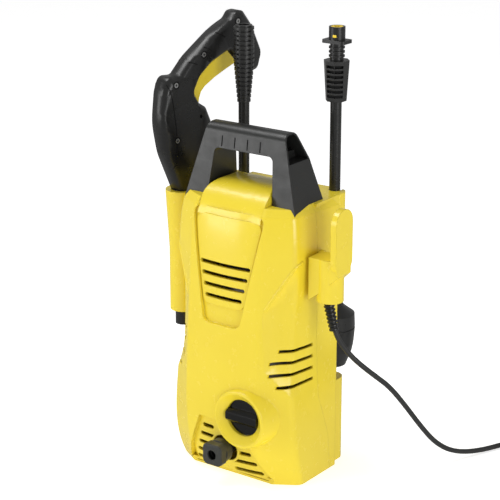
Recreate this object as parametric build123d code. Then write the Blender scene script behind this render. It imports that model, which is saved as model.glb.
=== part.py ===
from build123d import *
import os
from functools import lru_cache
from math import cos, pi, radians, sin, tan

# Upright electric pressure washer with carry handle, trigger gun, two lances and mains lead.
# Millimetres, +Z up, -Y is the front, the origin is the middle of the base on the floor.

# General fits
WALL = 3.0
GAP = 0.3
RUN = 0.05
REACH = 200.0

# Housing body, one outline per height: front depth, corner depth and corner half-width
NOSE_X = 53.0
NOSE_DROP = 6.0
SIDE_X = 92.5
CORNER_R = 12.0
BASE_FRONT = 66.0
BASE_CORNER_Y = 36.0
BASE_CORNER_X = 92.0
BULGE_Z = 85.0
BULGE_FRONT = 86.0
BULGE_CORNER_Y = 54.0
BULGE_CORNER_X = 92.0
WAIST_Z = 155.0
WAIST_FRONT = 84.0
WAIST_CORNER_Y = 52.0
WAIST_CORNER_X = 87.0
CHEST_Z = 250.0
CHEST_FRONT = 77.0
CHEST_CORNER_Y = 48.0
CHEST_CORNER_X = 88.0
SHOULDER_Z = 348.0
SHOULDER_FRONT = 66.0
SHOULDER_CORNER_Y = 43.0
SHOULDER_CORNER_X = 84.0
DECK_Z = 357.0
DECK_BEVEL = 7.0

# Rear of the housing: block behind the body with open bays for the lances
BAY_Y = 40.0
REAR_HALF = 86.0
REAR_Y = 74.0
REAR_R = 14.0
SPINE_HALF = 43.0
BAY_FLOOR_Z = 112.0
HOLDER_Z = 217.0

# Crown between the handle legs
CROWN_HALF = 47.0
CROWN_FRONT_Y = -62.0
CROWN_FRONT_Z = 338.0
CROWN_TOP_Y = -4.0
CROWN_TOP_Z = 376.5
CROWN_REAR_Y = 46.0
CROWN_REAR_Z = 362.0
CROWN_R = 14.0
CROWN_FRONT_SLOPE = (0.25, 1.0)
CROWN_REAR_SLOPE = (1.0, -0.45)

# Parting line between the front and rear shells, as depth at each height
PART_TOP_Y = -4.0
PART_TOP_Z = 309.0
PART_MID_Y = 1.0
PART_MID_Z = 110.0
PART_LOW_Y = 22.0
PART_LOW_Z = 52.0
PART_BASE_Y = 28.0

# Front channel with its raised plaque and air slots
CHANNEL_LOW_Z = 206.0
CHANNEL_TOP_HALF = 54.0
CHANNEL_LOW_HALF = 27.0
CHANNEL_DEPTH = 4.5
CHANNEL_R = 10.0
PLAQUE_TOP_Z = 340.0
PLAQUE_LOW_Z = 229.0
PLAQUE_TOP_HALF = 50.0
PLAQUE_LOW_HALF = 30.0
PLAQUE_RISE = 1.5
VENT_COUNT = 4
VENT_TOP_Z = 281.0
VENT_PITCH = 13.7
VENT_H = 5.0
VENT_TOP_HALF = 37.5
VENT_STEP_IN = 3.3

# Air slots round the front corners
SIDE_VENT_Z = 180.0
SIDE_VENT_PITCH = 14.8
SIDE_VENT_H = 4.0
SIDE_VENT_X = 72.0
SIDE_VENT_LONG_X = 64.0
SIDE_VENT_REAR_Y = -9.0

# Recessed grille at the foot of the front
GRILLE_TOP_Z = 82.0
GRILLE_TOP_HALF = 30.0
GRILLE_LOW_HALF = 64.0
GRILLE_DEPTH = 5.0
GRILLE_SLOT_H = 5.5
GRILLE_PITCH = 13.6
GRILLE_FIRST_Z = 13.0
GRILLE_LEFT_COUNT = 5
GRILLE_RIGHT_COUNT = 3
GRILLE_RIM = 7.0
GRILLE_FOOT_Y = -55.0

# Rotary switch in its funnel collar
KNOB_X = 34.5
KNOB_Z = 92.5
KNOB_R = 23.5
COLLAR_R = 37.0
COLLAR_MOUTH_R = 33.5
COLLAR_LIP_R = 2.0
COLLAR_DRAFT = 14.0
COLLAR_FRONT_Y = -90.0
FUNNEL_DEPTH = 9.0
WELL_FLOOR_Y = -66.0
KNOB_DISC_T = 11.0
KNOB_BAR_W = 18.0
KNOB_BAR_RISE = 8.0
SPINDLE_R = 4.0
SWITCH_W = 34.0
SWITCH_D = 20.0
SWITCH_H = 42.0
CAPACITOR_R = 8.0
CAPACITOR_H = 34.0

# Hose outlet with its sliding sleeve
OUTLET_X = 3.0
OUTLET_Z = 42.0
OUTLET_HOLE_R = 18.0
SOCKET_R = 10.0
SOCKET_BORE_R = 5.5
SOCKET_FRONT_Y = -96.0
SLEEVE_W = 29.0
SLEEVE_H = 28.0
SLEEVE_R = 7.0
SLEEVE_FRONT_Y = -103.0
SLEEVE_LENGTH = 23.0
SLEEVE_LIP = 3.0
SLEEVE_BLOCK = 12.0
SLEEVE_FLANGE_R = 15.5

# Water inlet at the rear
INLET_R = 13.2
INLET_BORE_R = 9.0
INLET_THREAD = 16.0
INLET_COLLAR_R = 17.0
INLET_COLLAR_T = 4.0
FILTER_R = 8.5
FILTER_LENGTH = 24.0

# Motor and pump stack standing on the shell floor
STACK_Y = 2.0
CRADLE_H = 19.0
CRADLE_X = 13.0
CRADLE_T = 5.0
HEAD_R = 36.0
HEAD_H = 36.0
BLOCK_R = 33.0
BLOCK_H = 44.0
CASE_R = 40.0
CASE_H = 34.0
CASE_WALL = 4.0
PLATE_R = 46.0
PLATE_T = 8.0
STATOR_R = 44.0
STATOR_BORE_R = 29.0
STATOR_H = 62.0
ARMATURE_R = 28.0
ARMATURE_H = 58.0
ARMATURE_SLOTS = 12
SHAFT_R = 6.0
BEARING_R = 14.0
COMMUTATOR_R = 15.0
COMMUTATOR_H = 18.0
POST_R = 5.0
POST_H = 30.0
POST_COUNT = 4
FAN_R = 42.0
FAN_HUB_R = 12.0
FAN_H = 14.0
FAN_BLADES = 9
FAN_BLADE_T = 2.0
SWASH_R = 28.0
SWASH_TILT = 9.0
PISTON_COUNT = 3
PISTON_R = 6.0
PISTON_RING_R = 19.0
PISTON_HEAD_R = 8.5
PISTON_HEAD_T = 4.0
PISTON_LENGTH = 34.0
BOLT_COUNT = 2
BOLT_R = 3.0
BOLT_HEAD_R = 5.0
BOLT_HEAD_T = 4.0

HEAD_Z = WALL + CRADLE_H
BLOCK_Z = HEAD_Z + HEAD_H
CASE_Z = BLOCK_Z + BLOCK_H
PLATE_Z = CASE_Z + CASE_H
STATOR_Z = PLATE_Z + PLATE_T
TOP_Z = STATOR_Z + STATOR_H + POST_H
FAN_Z = TOP_Z + PLATE_T + WALL

# Carry handle
HANDLE_TOP_Z = 443.5
HANDLE_GRIP_H = 29.0
HANDLE_TOP_HALF = 57.0
HANDLE_FOOT_HALF = 83.0
HANDLE_INNER_TOP = 43.0
HANDLE_INNER_FOOT = 50.5
HANDLE_FOOT_FRONT = -41.0
HANDLE_FOOT_REAR = 24.0
HANDLE_GRIP_FRONT = -27.0
HANDLE_GRIP_REAR = 5.0
HANDLE_NECK_Z = 408.0
HANDLE_NECK_REAR = 13.0
HANDLE_WALL = 2.5
HANDLE_CORNER_R = 9.0
HANDLE_POCKET = 26.0
HANDLE_POCKET_DROP = 6.5
HANDLE_TOP_R = 12.0
HANDLE_BEVEL = 2.5

# Cable hook with the cord gland on the right side
HOOK_X = 117.0
HOOK_Y = -14.0
GLAND_R = 16.5
GLAND_LOW_Z = 244.5
HOOK_LEDGE_Z = 299.0
HOOK_FACE_X = 95.0
HOOK_TAB_X = 136.0
HOOK_TAB_T = 8.0
HOOK_TAB_W = 36.0
HOOK_TAB_TOP_Z = 362.0
HOOK_TAB_LOW_Z = 280.0
HOOK_BLOCK_W = 30.0

# Holster for the gun on the left side
HOLSTER_TOP_Z = 340.0
HOLSTER_WAIST_Z = 262.0
HOLSTER_LOW_Z = 178.0
HOLSTER_WALL = 3.5
HOLSTER_FLARE = 4.0
HOLSTER_PLAY = 1.0

# Trigger gun, drawn in its own upright plane
GUN_X = -125.0
GUN_Y = 0.0
GUN_TURN = 80.0
GUN_HALF_T = 14.0
GUN_BEVEL = 6.0
GUN_FOOT_Z = HOLSTER_TOP_Z + GAP
BARREL_S = 6.0
BARREL_R = 13.0
BARREL_TIP_R = 11.0
BARREL_STEP_Z = 176.0
BARREL_TIP_Z = 158.0
BARREL_BORE_R = 7.0
TRIGGER_T = 14.0
TRIGGER_PIVOT = (27.0, 433.0)
TRIGGER_PIN_R = 2.5
TRIGGER_EYE_R = 7.0
TRIGGER_PULL = 10.0
LOCK_S = 46.0
LOCK_Z = 418.0
LOCK_W = 10.0
LOCK_H = 11.0
LOCK_T = 8.0
LOCK_TRAVEL = 4.0
SCREW_R = 1.8
SCREW_HEAD_R = 3.4
SCREW_HEAD_T = 2.4
SCREW_LENGTH = 14.0
HOSE_SOCKET_R = 8.0
HOSE_SOCKET_BORE_R = 5.0
HOSE_SOCKET_LENGTH = 22.0
HOSE_SOCKET_MOUTH = (134.5, 488.0)
HOSE_SOCKET_WAY = (0.95, -0.31)

# Lances standing in the rear holders
LANCE_X = 69.5
LANCE_Y = 65.0
LANCE_R = 7.0
LANCE_BORE_R = 4.0
LANCE_TOP_Z = 561.0
CONNECTOR_H = 41.0
CONNECTOR_R = 10.0
CONNECTOR_NECK_R = 8.2
CONNECTOR_LUG_R = 16.0
CONNECTOR_LUG_D = 16.0
NECK_RIBS = 3
NECK_RIB_R = 9.8
NECK_RIB_T = 2.2
CONNECTOR_LUG_T = 4.0
CONNECTOR_LUG_W = 11.0
RING_H = 3.0
RING_R = 7.5
LANCE_GRIP_H = 50.0
LANCE_GRIP_R = 16.0
LANCE_GRIP_LOW_R = 13.0
GRIP_POCKET_COUNT = 7
GRIP_POCKET_H = 3.6
GRIP_POCKET_D = 3.0
GRIP_POCKET_W = 11.0
NOZZLE_R = 28.5
NOZZLE_SOCKET = 21.0
NOZZLE_H = 86.0
NOZZLE_PLAY = 1.0
NOZZLE_SHARES = [
    (0.62, 0.0),
    (0.75, 0.11),
    (0.88, 0.23),
    (0.94, 0.335),
    (0.975, 0.45),
    (1.0, 0.56),
    (1.0, 0.58),
    (0.96, 0.58),
    (0.96, 0.61),
    (1.0, 0.61),
    (0.975, 0.795),
    (0.77, 0.845),
    (0.5, 0.915),
]
STAND_H = 15.0
STAND_R = 6.0
NOZZLE_TIP_BORE_R = 4.0
VARIO_TOP_Z = 548.0
VARIO_H = 98.0
VARIO_R = 13.0
VARIO_LOW_R = 8.6
VARIO_FINS = 17
VARIO_FIN_DEPTH = 2.4
VARIO_TIP_H = 10.0
VARIO_TIP_INSET = 3.0
VARIO_TIP_BORE_R = 2.0

# Mains lead, its boot, coil, tie and plug
CORD_R = 3.25
BOOT_X = 113.8
BOOT_TILT = (0.30, -0.06, -1.0)
BOOT_R = 7.0
BOOT_LOW_R = 6.0
BOOT_LENGTH = 46.5
BOOT_SEAT = 8.0
BOOT_RIBS = 8
BOOT_RIB_DEPTH = 1.2
BOOT_MOUTH = 22.0
BOOT_FLARE = 0.8
BOOT_EASE = 6.0
COIL_X = 320.0
COIL_Y = 240.0
COIL_IN_R = 26.0
COIL_PITCH = 7.0
COIL_LAYER = 7.0
COIL_LAYERS = 4
COIL_TURNS = 4.25
COIL_START = 152.0
TIE_T = 1.2
TIE_W = 8.0
TIE_PLAY = 0.8
LEAD_RUN = 46.0
TAIL_RUN = 42.0
TAIL_SEAT = 16.0
PLUG_R = 18.5
PLUG_NECK_R = 8.0
PLUG_LENGTH = 46.0
PLUG_FACE_T = 12.0
PIN_R = 2.4
PIN_LENGTH = 19.0
PIN_PITCH = 19.0

# Cord route from the boot to the coil: points chosen by hand after the boot's end
CORD_POINTS = [
    (145.5, -14, 181),
    (158, -4, 165.5),
    (167.5, 13, 148.5),
    (176, 33, 130),
    (181, 64, 95),
    (189, 88, 62),
    (198, 112, 32),
    (209, 140, 12),
    (226, 176, 4),
]


def box(x, y, z):
    """Box between two limits on each axis."""
    middle = [(pair[0] + pair[1]) / 2 for pair in (x, y, z)]
    size = [pair[1] - pair[0] for pair in (x, y, z)]
    return Pos(*middle) * Box(*size)


def upright(x, y, z_low, z_high, radius):
    """Upright cylinder between two heights."""
    return Pos(x, y, (z_low + z_high) / 2) * Cylinder(radius, z_high - z_low)


def along_y(x, z, y_front, y_rear, radius):
    """Cylinder lying front to rear between two depths."""
    return Pos(x, (y_front + y_rear) / 2, z) * Rot(90, 0, 0) * Cylinder(radius, y_rear - y_front)


def front_prism(outline, y_front, y_rear, taper=0.0):
    """Front-view outline carried from y_rear towards the front."""
    return extrude(Plane.XZ.offset(-y_rear) * outline, amount=y_rear - y_front, taper=taper)


def turned(x, y, profile):
    """Turned piece from radius and height pairs, on an upright axis."""
    outline = make_face(Plane.XZ * Polyline(*profile, close=True))
    return Pos(x, y, 0) * revolve(outline, Axis.Z)


def level(z, front, corner_x, corner_y, inset):
    """One horizontal outline of the housing body, set in by a wall or a recess."""
    nose_y = -(front - NOSE_DROP)
    nose = ThreePointArc((-NOSE_X, nose_y), (0, -front), (NOSE_X, nose_y))
    right = Polyline((NOSE_X, nose_y), (corner_x, -corner_y), (SIDE_X, BAY_Y))
    back = Line((SIDE_X, BAY_Y), (-SIDE_X, BAY_Y))
    left = Polyline((-SIDE_X, BAY_Y), (-corner_x, -corner_y), (-NOSE_X, nose_y))
    face = make_face(nose + right + back + left)
    face = fillet(face.vertices().sort_by(Axis.Y)[:-2], CORNER_R)
    if inset > 0:
        face = offset(face, -inset)
    return Pos(0, 0, z) * face


@lru_cache(maxsize=None)
def wall_form(inset=0.0):
    """Lofted body of the housing up to its shoulder."""
    return loft(
        [
            level(inset, BASE_FRONT, BASE_CORNER_X, BASE_CORNER_Y, inset),
            level(BULGE_Z, BULGE_FRONT, BULGE_CORNER_X, BULGE_CORNER_Y, inset),
            level(WAIST_Z, WAIST_FRONT, WAIST_CORNER_X, WAIST_CORNER_Y, inset),
            level(CHEST_Z, CHEST_FRONT, CHEST_CORNER_X, CHEST_CORNER_Y, inset),
            shoulder_level(SHOULDER_Z, inset),
        ]
    )


def shoulder_level(z, inset):
    """Outline of the housing at its shoulder, also used for the deck above it."""
    return level(z, SHOULDER_FRONT, SHOULDER_CORNER_X, SHOULDER_CORNER_Y, inset)


def body_form(inset=0.0):
    """Body of the housing with its bevelled deck."""
    deck = [shoulder_level(SHOULDER_Z, inset), shoulder_level(DECK_Z - inset, inset + DECK_BEVEL)]
    return wall_form(inset) + loft(deck, ruled=True)


@lru_cache(maxsize=None)
def crown_form(inset=0.0):
    """Domed crown of the housing between the legs of the handle."""
    front_y = CROWN_FRONT_Y + inset
    rear_y = CROWN_REAR_Y - inset
    rear_z = CROWN_REAR_Z - inset
    foot_z = CROWN_FRONT_Z - CROWN_R + inset
    top_z = CROWN_TOP_Z - inset
    rise = Spline(
        (front_y, CROWN_FRONT_Z),
        (CROWN_TOP_Y, top_z),
        (rear_y, rear_z),
        tangents=[CROWN_FRONT_SLOPE, CROWN_REAR_SLOPE],
    )
    under = Polyline((rear_y, rear_z), (rear_y, foot_z), (front_y, foot_z), (front_y, CROWN_FRONT_Z))
    side_prism = extrude(Plane.YZ * make_face(rise + under), amount=CROWN_HALF, both=True)
    height = top_z - foot_z
    front = Pos(0, foot_z + height / 2) * RectangleRounded(2 * (CROWN_HALF - inset), height, CROWN_R - inset)
    return side_prism & front_prism(front, -REACH, REACH)


def rear_form(inset=0.0):
    """Block behind the body that carries the lance holders."""
    depth = REAR_Y - inset
    plan = Pos(0, depth / 2) * Rectangle(2 * (REAR_HALF - inset), depth)
    rear_corners = plan.vertices().sort_by(Axis.Y)[-2:]
    plan = fillet(rear_corners, REAR_R - inset)
    return Pos(0, 0, inset) * extrude(plan, amount=DECK_Z - 2 * inset)


def lance_ways(grow=0.0):
    """Open bays and U-shaped holders for both lances, grown by a wall when asked."""
    ways = Part()
    holder_r = LANCE_R + GAP + grow
    for side in (-1, 1):
        inner = side * (SPINE_HALF - grow)
        outer = side * REACH
        ways += box(sorted((inner, outer)), (BAY_Y - grow, REACH), (BAY_FLOOR_Z - grow, HOLDER_Z + grow))
        ways += upright(side * LANCE_X, LANCE_Y, BAY_FLOOR_Z - grow, HOLDER_Z + grow, NOZZLE_R + NOZZLE_PLAY + grow)
        ways += upright(side * LANCE_X, LANCE_Y, HOLDER_Z, REACH * 2, holder_r)
        mouth = (side * LANCE_X - holder_r, side * LANCE_X + holder_r)
        ways += box(mouth, (LANCE_Y, REACH), (HOLDER_Z, REACH * 2))
    return ways


def housing_form(inset=0.0):
    """Whole housing, or its inside when set in by the wall."""
    return body_form(inset) + rear_form(inset) + crown_form(inset) - lance_ways(inset)


def front_zone():
    """Space in front of the stepped parting line."""
    side = Polyline(
        (-REACH, -REACH),
        (PART_BASE_Y, -REACH),
        (PART_BASE_Y, 0),
        (PART_LOW_Y, PART_LOW_Z),
        (PART_MID_Y, PART_MID_Z),
        (PART_TOP_Y, PART_TOP_Z),
        (PART_TOP_Y, 2 * REACH),
        (-REACH, 2 * REACH),
        close=True,
    )
    return extrude(Plane.YZ * make_face(side), amount=REACH, both=True)


def tapered_outline(top_z, low_z, top_half, low_half, radius):
    """Front-view shield outline that narrows downwards."""
    shield = Polygon((-low_half, low_z), (low_half, low_z), (top_half, top_z), (-top_half, top_z), align=None)
    return fillet(shield.vertices(), radius)


def recessed(shell, outline, depth, above_z):
    """Sink an outline of the front into the shell, with a wall round and behind it."""
    front_only = box((-REACH, REACH), (-REACH, -BAY_Y), (above_z, SHOULDER_Z))
    lining = front_prism(offset(outline, WALL), -REACH, -BAY_Y) & front_only
    shell += lining & (wall_form() - wall_form(depth + WALL))
    return shell - ((front_prism(outline, -REACH, -BAY_Y) & front_only) - wall_form(depth))


def crown_front(shell):
    """Open the top of the channel so that the crown runs down into it."""
    top = box(
        (-CROWN_HALF, CROWN_HALF),
        (-REACH, CROWN_FRONT_Y + CHANNEL_R),
        (SHOULDER_Z - CHANNEL_R, REACH * 2),
    )
    skin = crown_form() - crown_form(WALL)
    shell += skin & box((-REACH, REACH), (-REACH, -BAY_Y), (CROWN_FRONT_Z, DECK_Z))
    return shell - (top - crown_form() - wall_form(CHANNEL_DEPTH))


def channel_features(shell):
    """Sunk channel of the front with the raised plaque and its air slots."""
    outline = tapered_outline(SHOULDER_Z, CHANNEL_LOW_Z, CHANNEL_TOP_HALF, CHANNEL_LOW_HALF, CHANNEL_R)
    shell = recessed(shell, outline, CHANNEL_DEPTH, CHANNEL_LOW_Z - WALL)
    shell = crown_front(shell)
    plaque = tapered_outline(PLAQUE_TOP_Z, PLAQUE_LOW_Z, PLAQUE_TOP_HALF, PLAQUE_LOW_HALF, CHANNEL_R)
    raised = wall_form(CHANNEL_DEPTH - PLAQUE_RISE) - wall_form(CHANNEL_DEPTH + WALL)
    shell += front_prism(plaque, -REACH, -BAY_Y) & raised
    for index in range(VENT_COUNT):
        width = 2 * (VENT_TOP_HALF - index * VENT_STEP_IN)
        slot = Pos(0, VENT_TOP_Z - index * VENT_PITCH) * SlotOverall(width, VENT_H)
        shell -= front_prism(slot, -REACH, -BAY_Y)
    return shell


def corner_slots():
    """Air slots that wrap round both front corners of the body."""
    skin = wall_form() - wall_form(2 * WALL)
    slots = Part()
    for index in range(VENT_COUNT):
        z = SIDE_VENT_Z - index * SIDE_VENT_PITCH
        inner_x = SIDE_VENT_LONG_X if 0 < index < VENT_COUNT - 1 else SIDE_VENT_X
        for side in (-1, 1):
            reach = sorted((side * inner_x, side * REACH))
            slots += box(reach, (-REACH, SIDE_VENT_REAR_Y), (z - SIDE_VENT_H / 2, z + SIDE_VENT_H / 2))
    return slots & skin


def grille_features(shell):
    """Sunk grille at the foot of the front, between the two front feet."""
    outline = Polygon(
        (-GRILLE_LOW_HALF, GRILLE_RIM),
        (GRILLE_LOW_HALF, GRILLE_RIM),
        (GRILLE_TOP_HALF, GRILLE_TOP_Z),
        (-GRILLE_TOP_HALF, GRILLE_TOP_Z),
        align=None,
    )
    shell = recessed(shell, outline, GRILLE_DEPTH, 0)
    under = box((-GRILLE_LOW_HALF, GRILLE_LOW_HALF), (-REACH, GRILLE_FOOT_Y), (-GRILLE_RIM, GRILLE_RIM))
    return shell - under


def grille_slots():
    """Slots of the grille, clear of the collar and the outlet."""
    slots = Part()
    for side, count in ((-1, GRILLE_LEFT_COUNT), (1, GRILLE_RIGHT_COUNT)):
        for index in range(count):
            z = GRILLE_FIRST_Z + index * GRILLE_PITCH
            run = GRILLE_LOW_HALF - (GRILLE_LOW_HALF - GRILLE_TOP_HALF) * z / GRILLE_TOP_Z
            inner = side * (OUTLET_HOLE_R - GRILLE_RIM)
            outer = side * (run - GRILLE_RIM)
            middle = (inner + outer) / 2
            slots += front_prism(Pos(middle, z) * SlotOverall(abs(outer - inner), GRILLE_SLOT_H), -REACH, -BAY_Y)
    collar = along_y(KNOB_X, KNOB_Z, -REACH, REACH, COLLAR_R + WALL)
    outlet = along_y(OUTLET_X, OUTLET_Z, -REACH, REACH, OUTLET_HOLE_R + WALL)
    return slots - collar - outlet


def collar_features(shell):
    """Funnel collar and the well in which the switch knob turns."""
    well_back = WELL_FLOOR_Y + WALL
    well_r = KNOB_R + GAP
    length = well_back - COLLAR_FRONT_Y
    spread = length * tan(radians(COLLAR_DRAFT))
    middle = Pos(KNOB_X, (COLLAR_FRONT_Y + well_back) / 2, KNOB_Z) * Rot(90, 0, 0)
    collar = middle * Cone(COLLAR_R + spread, COLLAR_R, length)
    collar = fillet(collar.edges().group_by(Axis.Y)[0], COLLAR_LIP_R)
    cup = along_y(KNOB_X, KNOB_Z, COLLAR_FRONT_Y, well_back, well_r + WALL)
    shell += collar - (wall_form(WALL) - cup)
    funnel_y = COLLAR_FRONT_Y + FUNNEL_DEPTH / 2
    shell -= Pos(KNOB_X, funnel_y, KNOB_Z) * Rot(90, 0, 0) * Cone(well_r, COLLAR_MOUTH_R, FUNNEL_DEPTH)
    shell -= along_y(KNOB_X, KNOB_Z, -REACH, WELL_FLOOR_Y, well_r)
    return shell - along_y(KNOB_X, KNOB_Z, -REACH, -BAY_Y, SPINDLE_R + GAP)


def front_shell(whole):
    """Front half of the housing."""
    shell = whole & front_zone()
    shell = channel_features(shell)
    shell = grille_features(shell)
    shell = collar_features(shell)
    shell -= corner_slots()
    shell -= grille_slots()
    shell -= along_y(OUTLET_X, OUTLET_Z, -REACH, -BAY_Y, OUTLET_HOLE_R)
    return shell + cradle()


def cradle():
    """Ribs on the shell floor that carry the pump."""
    ribs = Part()
    for side in (-1, 1):
        x = (side * CRADLE_X - CRADLE_T / 2, side * CRADLE_X + CRADLE_T / 2)
        ribs += box(x, (-PART_LOW_Y, PART_LOW_Y), (WALL / 2, WALL + CRADLE_H))
    return ribs


def cable_hook():
    """Hook for the lead, with the column of the cord gland under it."""
    column = upright(HOOK_X, HOOK_Y, GLAND_LOW_Z, HOOK_LEDGE_Z, GLAND_R)
    half = HOOK_BLOCK_W / 2
    block_outline = Polygon(
        (HOOK_FACE_X, GLAND_LOW_Z),
        (HOOK_X, GLAND_LOW_Z + GLAND_R),
        (HOOK_TAB_X, HOOK_TAB_LOW_Z),
        (HOOK_TAB_X, HOOK_LEDGE_Z),
        (HOOK_FACE_X, HOOK_LEDGE_Z),
        align=None,
    )
    block = front_prism(block_outline, HOOK_Y - half, HOOK_Y + half)
    tab_r = HOOK_TAB_W / 2
    tab_outline = Pos(HOOK_Y, (HOOK_TAB_LOW_Z + HOOK_TAB_TOP_Z) / 2) * RectangleRounded(
        HOOK_TAB_W, HOOK_TAB_TOP_Z - HOOK_TAB_LOW_Z, tab_r - GAP
    )
    tab = Pos(HOOK_TAB_X - HOOK_TAB_T, 0, 0) * extrude(Plane.YZ * tab_outline, amount=HOOK_TAB_T)
    root = box((SIDE_X - WALL, HOOK_FACE_X + WALL), (PART_TOP_Y, HOOK_Y + half + WALL), (GLAND_LOW_Z, HOOK_LEDGE_Z))
    root -= Pos(0, GAP, 0) * front_zone()
    return column + block + tab + root - boot_seat()


def barrel_axis():
    """Plan position of the gun's barrel."""
    turn = radians(GUN_TURN)
    return GUN_X + BARREL_S * cos(turn), GUN_Y + BARREL_S * sin(turn)


def holster():
    """Open-ended holster for the gun's barrel."""
    x, y = barrel_axis()
    bore = BARREL_R + HOLSTER_PLAY
    mouth = bore + HOLSTER_WALL + HOLSTER_FLARE
    profile = [
        (0, HOLSTER_LOW_Z),
        (bore + HOLSTER_WALL, HOLSTER_LOW_Z),
        (bore + HOLSTER_WALL, HOLSTER_WAIST_Z),
        (mouth, HOLSTER_TOP_Z - HOLSTER_FLARE),
        (mouth, HOLSTER_TOP_Z),
        (0, HOLSTER_TOP_Z),
    ]
    web = box(
        (x, -(SIDE_X - WALL)),
        (PART_TOP_Y + 2 * BARREL_S, y + BARREL_R),
        (HOLSTER_LOW_Z + BARREL_R, HOLSTER_TOP_Z - HOLSTER_FLARE),
    )
    return turned(x, y, profile) + web - upright(x, y, 0, 2 * REACH, bore)


def rear_shell(whole):
    """Rear half of the housing with the hook, the holster and the lance holders."""
    shell = whole - front_zone()
    shell += cable_hook()
    shell += holster()
    shell += upright(LANCE_X, LANCE_Y, BAY_FLOOR_Z - WALL / 2, BAY_FLOOR_Z + STAND_H, STAND_R)
    shell -= along_y(0, OUTLET_Z, STACK_Y, REACH, INLET_R + GAP)
    for x, z in shell_screw_places():
        shell += along_y(x, z, REAR_Y - SCREW_LENGTH - WALL, REAR_Y - WALL, SCREW_R + WALL)
        shell -= along_y(x, z, REAR_Y - SCREW_HEAD_T, REACH, SCREW_HEAD_R + GAP)
        shell -= along_y(x, z, REAR_Y - SCREW_LENGTH, REACH, SCREW_R + RUN)
    return shell


def shell_screw_places():
    """Front-view places of the screws in the back of the rear shell."""
    x = SPINE_HALF - REAR_R
    return [(side * x, z) for side in (-1, 1) for z in (BAY_FLOOR_Z - REAR_R, HOLDER_Z - REAR_R, SHOULDER_Z - REAR_R)]


def shell_screws():
    """Screws that close the housing from behind."""
    screws = Part()
    for x, z in shell_screw_places():
        screws += along_y(x, z, REAR_Y - SCREW_HEAD_T, REAR_Y, SCREW_HEAD_R)
        screws += along_y(x, z, REAR_Y - SCREW_LENGTH, REAR_Y, SCREW_R)
    return screws


def handle_side():
    """Side view of the carry handle."""
    outline = Polygon(
        (HANDLE_FOOT_FRONT, SHOULDER_Z),
        (HANDLE_FOOT_REAR, SHOULDER_Z),
        (HANDLE_NECK_REAR, HANDLE_NECK_Z),
        (HANDLE_GRIP_REAR - HANDLE_CORNER_R, HANDLE_TOP_Z),
        (HANDLE_GRIP_FRONT, HANDLE_TOP_Z),
        align=None,
    )
    top = outline.vertices().group_by(Axis.Y)[-1]
    return fillet(top, HANDLE_TOP_R)


def carry_handle():
    """Arched carry handle with hollow ends."""
    under = HANDLE_TOP_Z - HANDLE_GRIP_H
    outer = Polygon(
        (-HANDLE_FOOT_HALF, SHOULDER_Z),
        (HANDLE_FOOT_HALF, SHOULDER_Z),
        (HANDLE_TOP_HALF, HANDLE_TOP_Z),
        (-HANDLE_TOP_HALF, HANDLE_TOP_Z),
        align=None,
    )
    opening = tapered_outline(
        SHOULDER_Z - HANDLE_CORNER_R, under, HANDLE_INNER_FOOT, HANDLE_INNER_TOP, HANDLE_CORNER_R - HANDLE_BEVEL
    )
    side = extrude(Plane.YZ * handle_side(), amount=REACH, both=True)
    handle = (side & front_prism(outer - opening, -REACH, REACH)) - body_form()
    inside = extrude(Plane.YZ * offset(handle_side(), -HANDLE_WALL), amount=REACH)
    leg_x = HANDLE_INNER_TOP + 2 * HANDLE_WALL
    pocket_outline = Polygon(
        (HANDLE_TOP_HALF - HANDLE_POCKET, under + WALL),
        (leg_x, under + WALL),
        (leg_x, under - HANDLE_POCKET_DROP),
        (REACH, under - HANDLE_POCKET_DROP),
        (REACH, HANDLE_TOP_Z),
        (HANDLE_TOP_HALF - HANDLE_POCKET, HANDLE_TOP_Z),
        align=None,
    )
    pocket = inside & front_prism(pocket_outline, -REACH, REACH)
    return handle - pocket - mirror(pocket, Plane.YZ)


def handle_screws():
    """Screws that hold the handle's legs from inside the housing."""
    screws = Part()
    x = (HANDLE_INNER_FOOT + HANDLE_FOOT_HALF) / 2
    for side in (-1, 1):
        for y in (HANDLE_FOOT_FRONT + 2 * HANDLE_CORNER_R, HANDLE_FOOT_REAR - HANDLE_CORNER_R):
            screws += upright(side * x, y, DECK_Z - WALL - SCREW_HEAD_T, DECK_Z - WALL, SCREW_HEAD_R)
            screws += upright(side * x, y, DECK_Z - WALL, DECK_Z + SCREW_LENGTH - WALL, SCREW_R)
    return screws


def screw_ways():
    """Clearance for the handle's screws through the deck and up the legs."""
    ways = Part()
    x = (HANDLE_INNER_FOOT + HANDLE_FOOT_HALF) / 2
    for side in (-1, 1):
        for y in (HANDLE_FOOT_FRONT + 2 * HANDLE_CORNER_R, HANDLE_FOOT_REAR - HANDLE_CORNER_R):
            ways += upright(side * x, y, DECK_Z - WALL - RUN, DECK_Z + SCREW_LENGTH - WALL + RUN, SCREW_R + RUN)
    return ways


def switch_knob():
    """Rotary switch knob with its raised grip bar and spindle."""
    back = WELL_FLOOR_Y - GAP
    face = back - KNOB_DISC_T
    disc = along_y(KNOB_X, KNOB_Z, face, back, KNOB_R)
    bar = box(
        (KNOB_X - KNOB_R, KNOB_X + KNOB_R),
        (face - KNOB_BAR_RISE, face + 1),
        (KNOB_Z - KNOB_BAR_W / 2, KNOB_Z + KNOB_BAR_W / 2),
    )
    bar = chamfer(bar.edges().group_by(Axis.Y)[0].filter_by(Axis.X), KNOB_BAR_W / 4)
    bar &= along_y(KNOB_X, KNOB_Z, face - REACH, back, KNOB_R)
    spindle = along_y(KNOB_X, KNOB_Z, back, WELL_FLOOR_Y + WALL + SWITCH_D / 2, SPINDLE_R)
    return disc + bar + spindle


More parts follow.
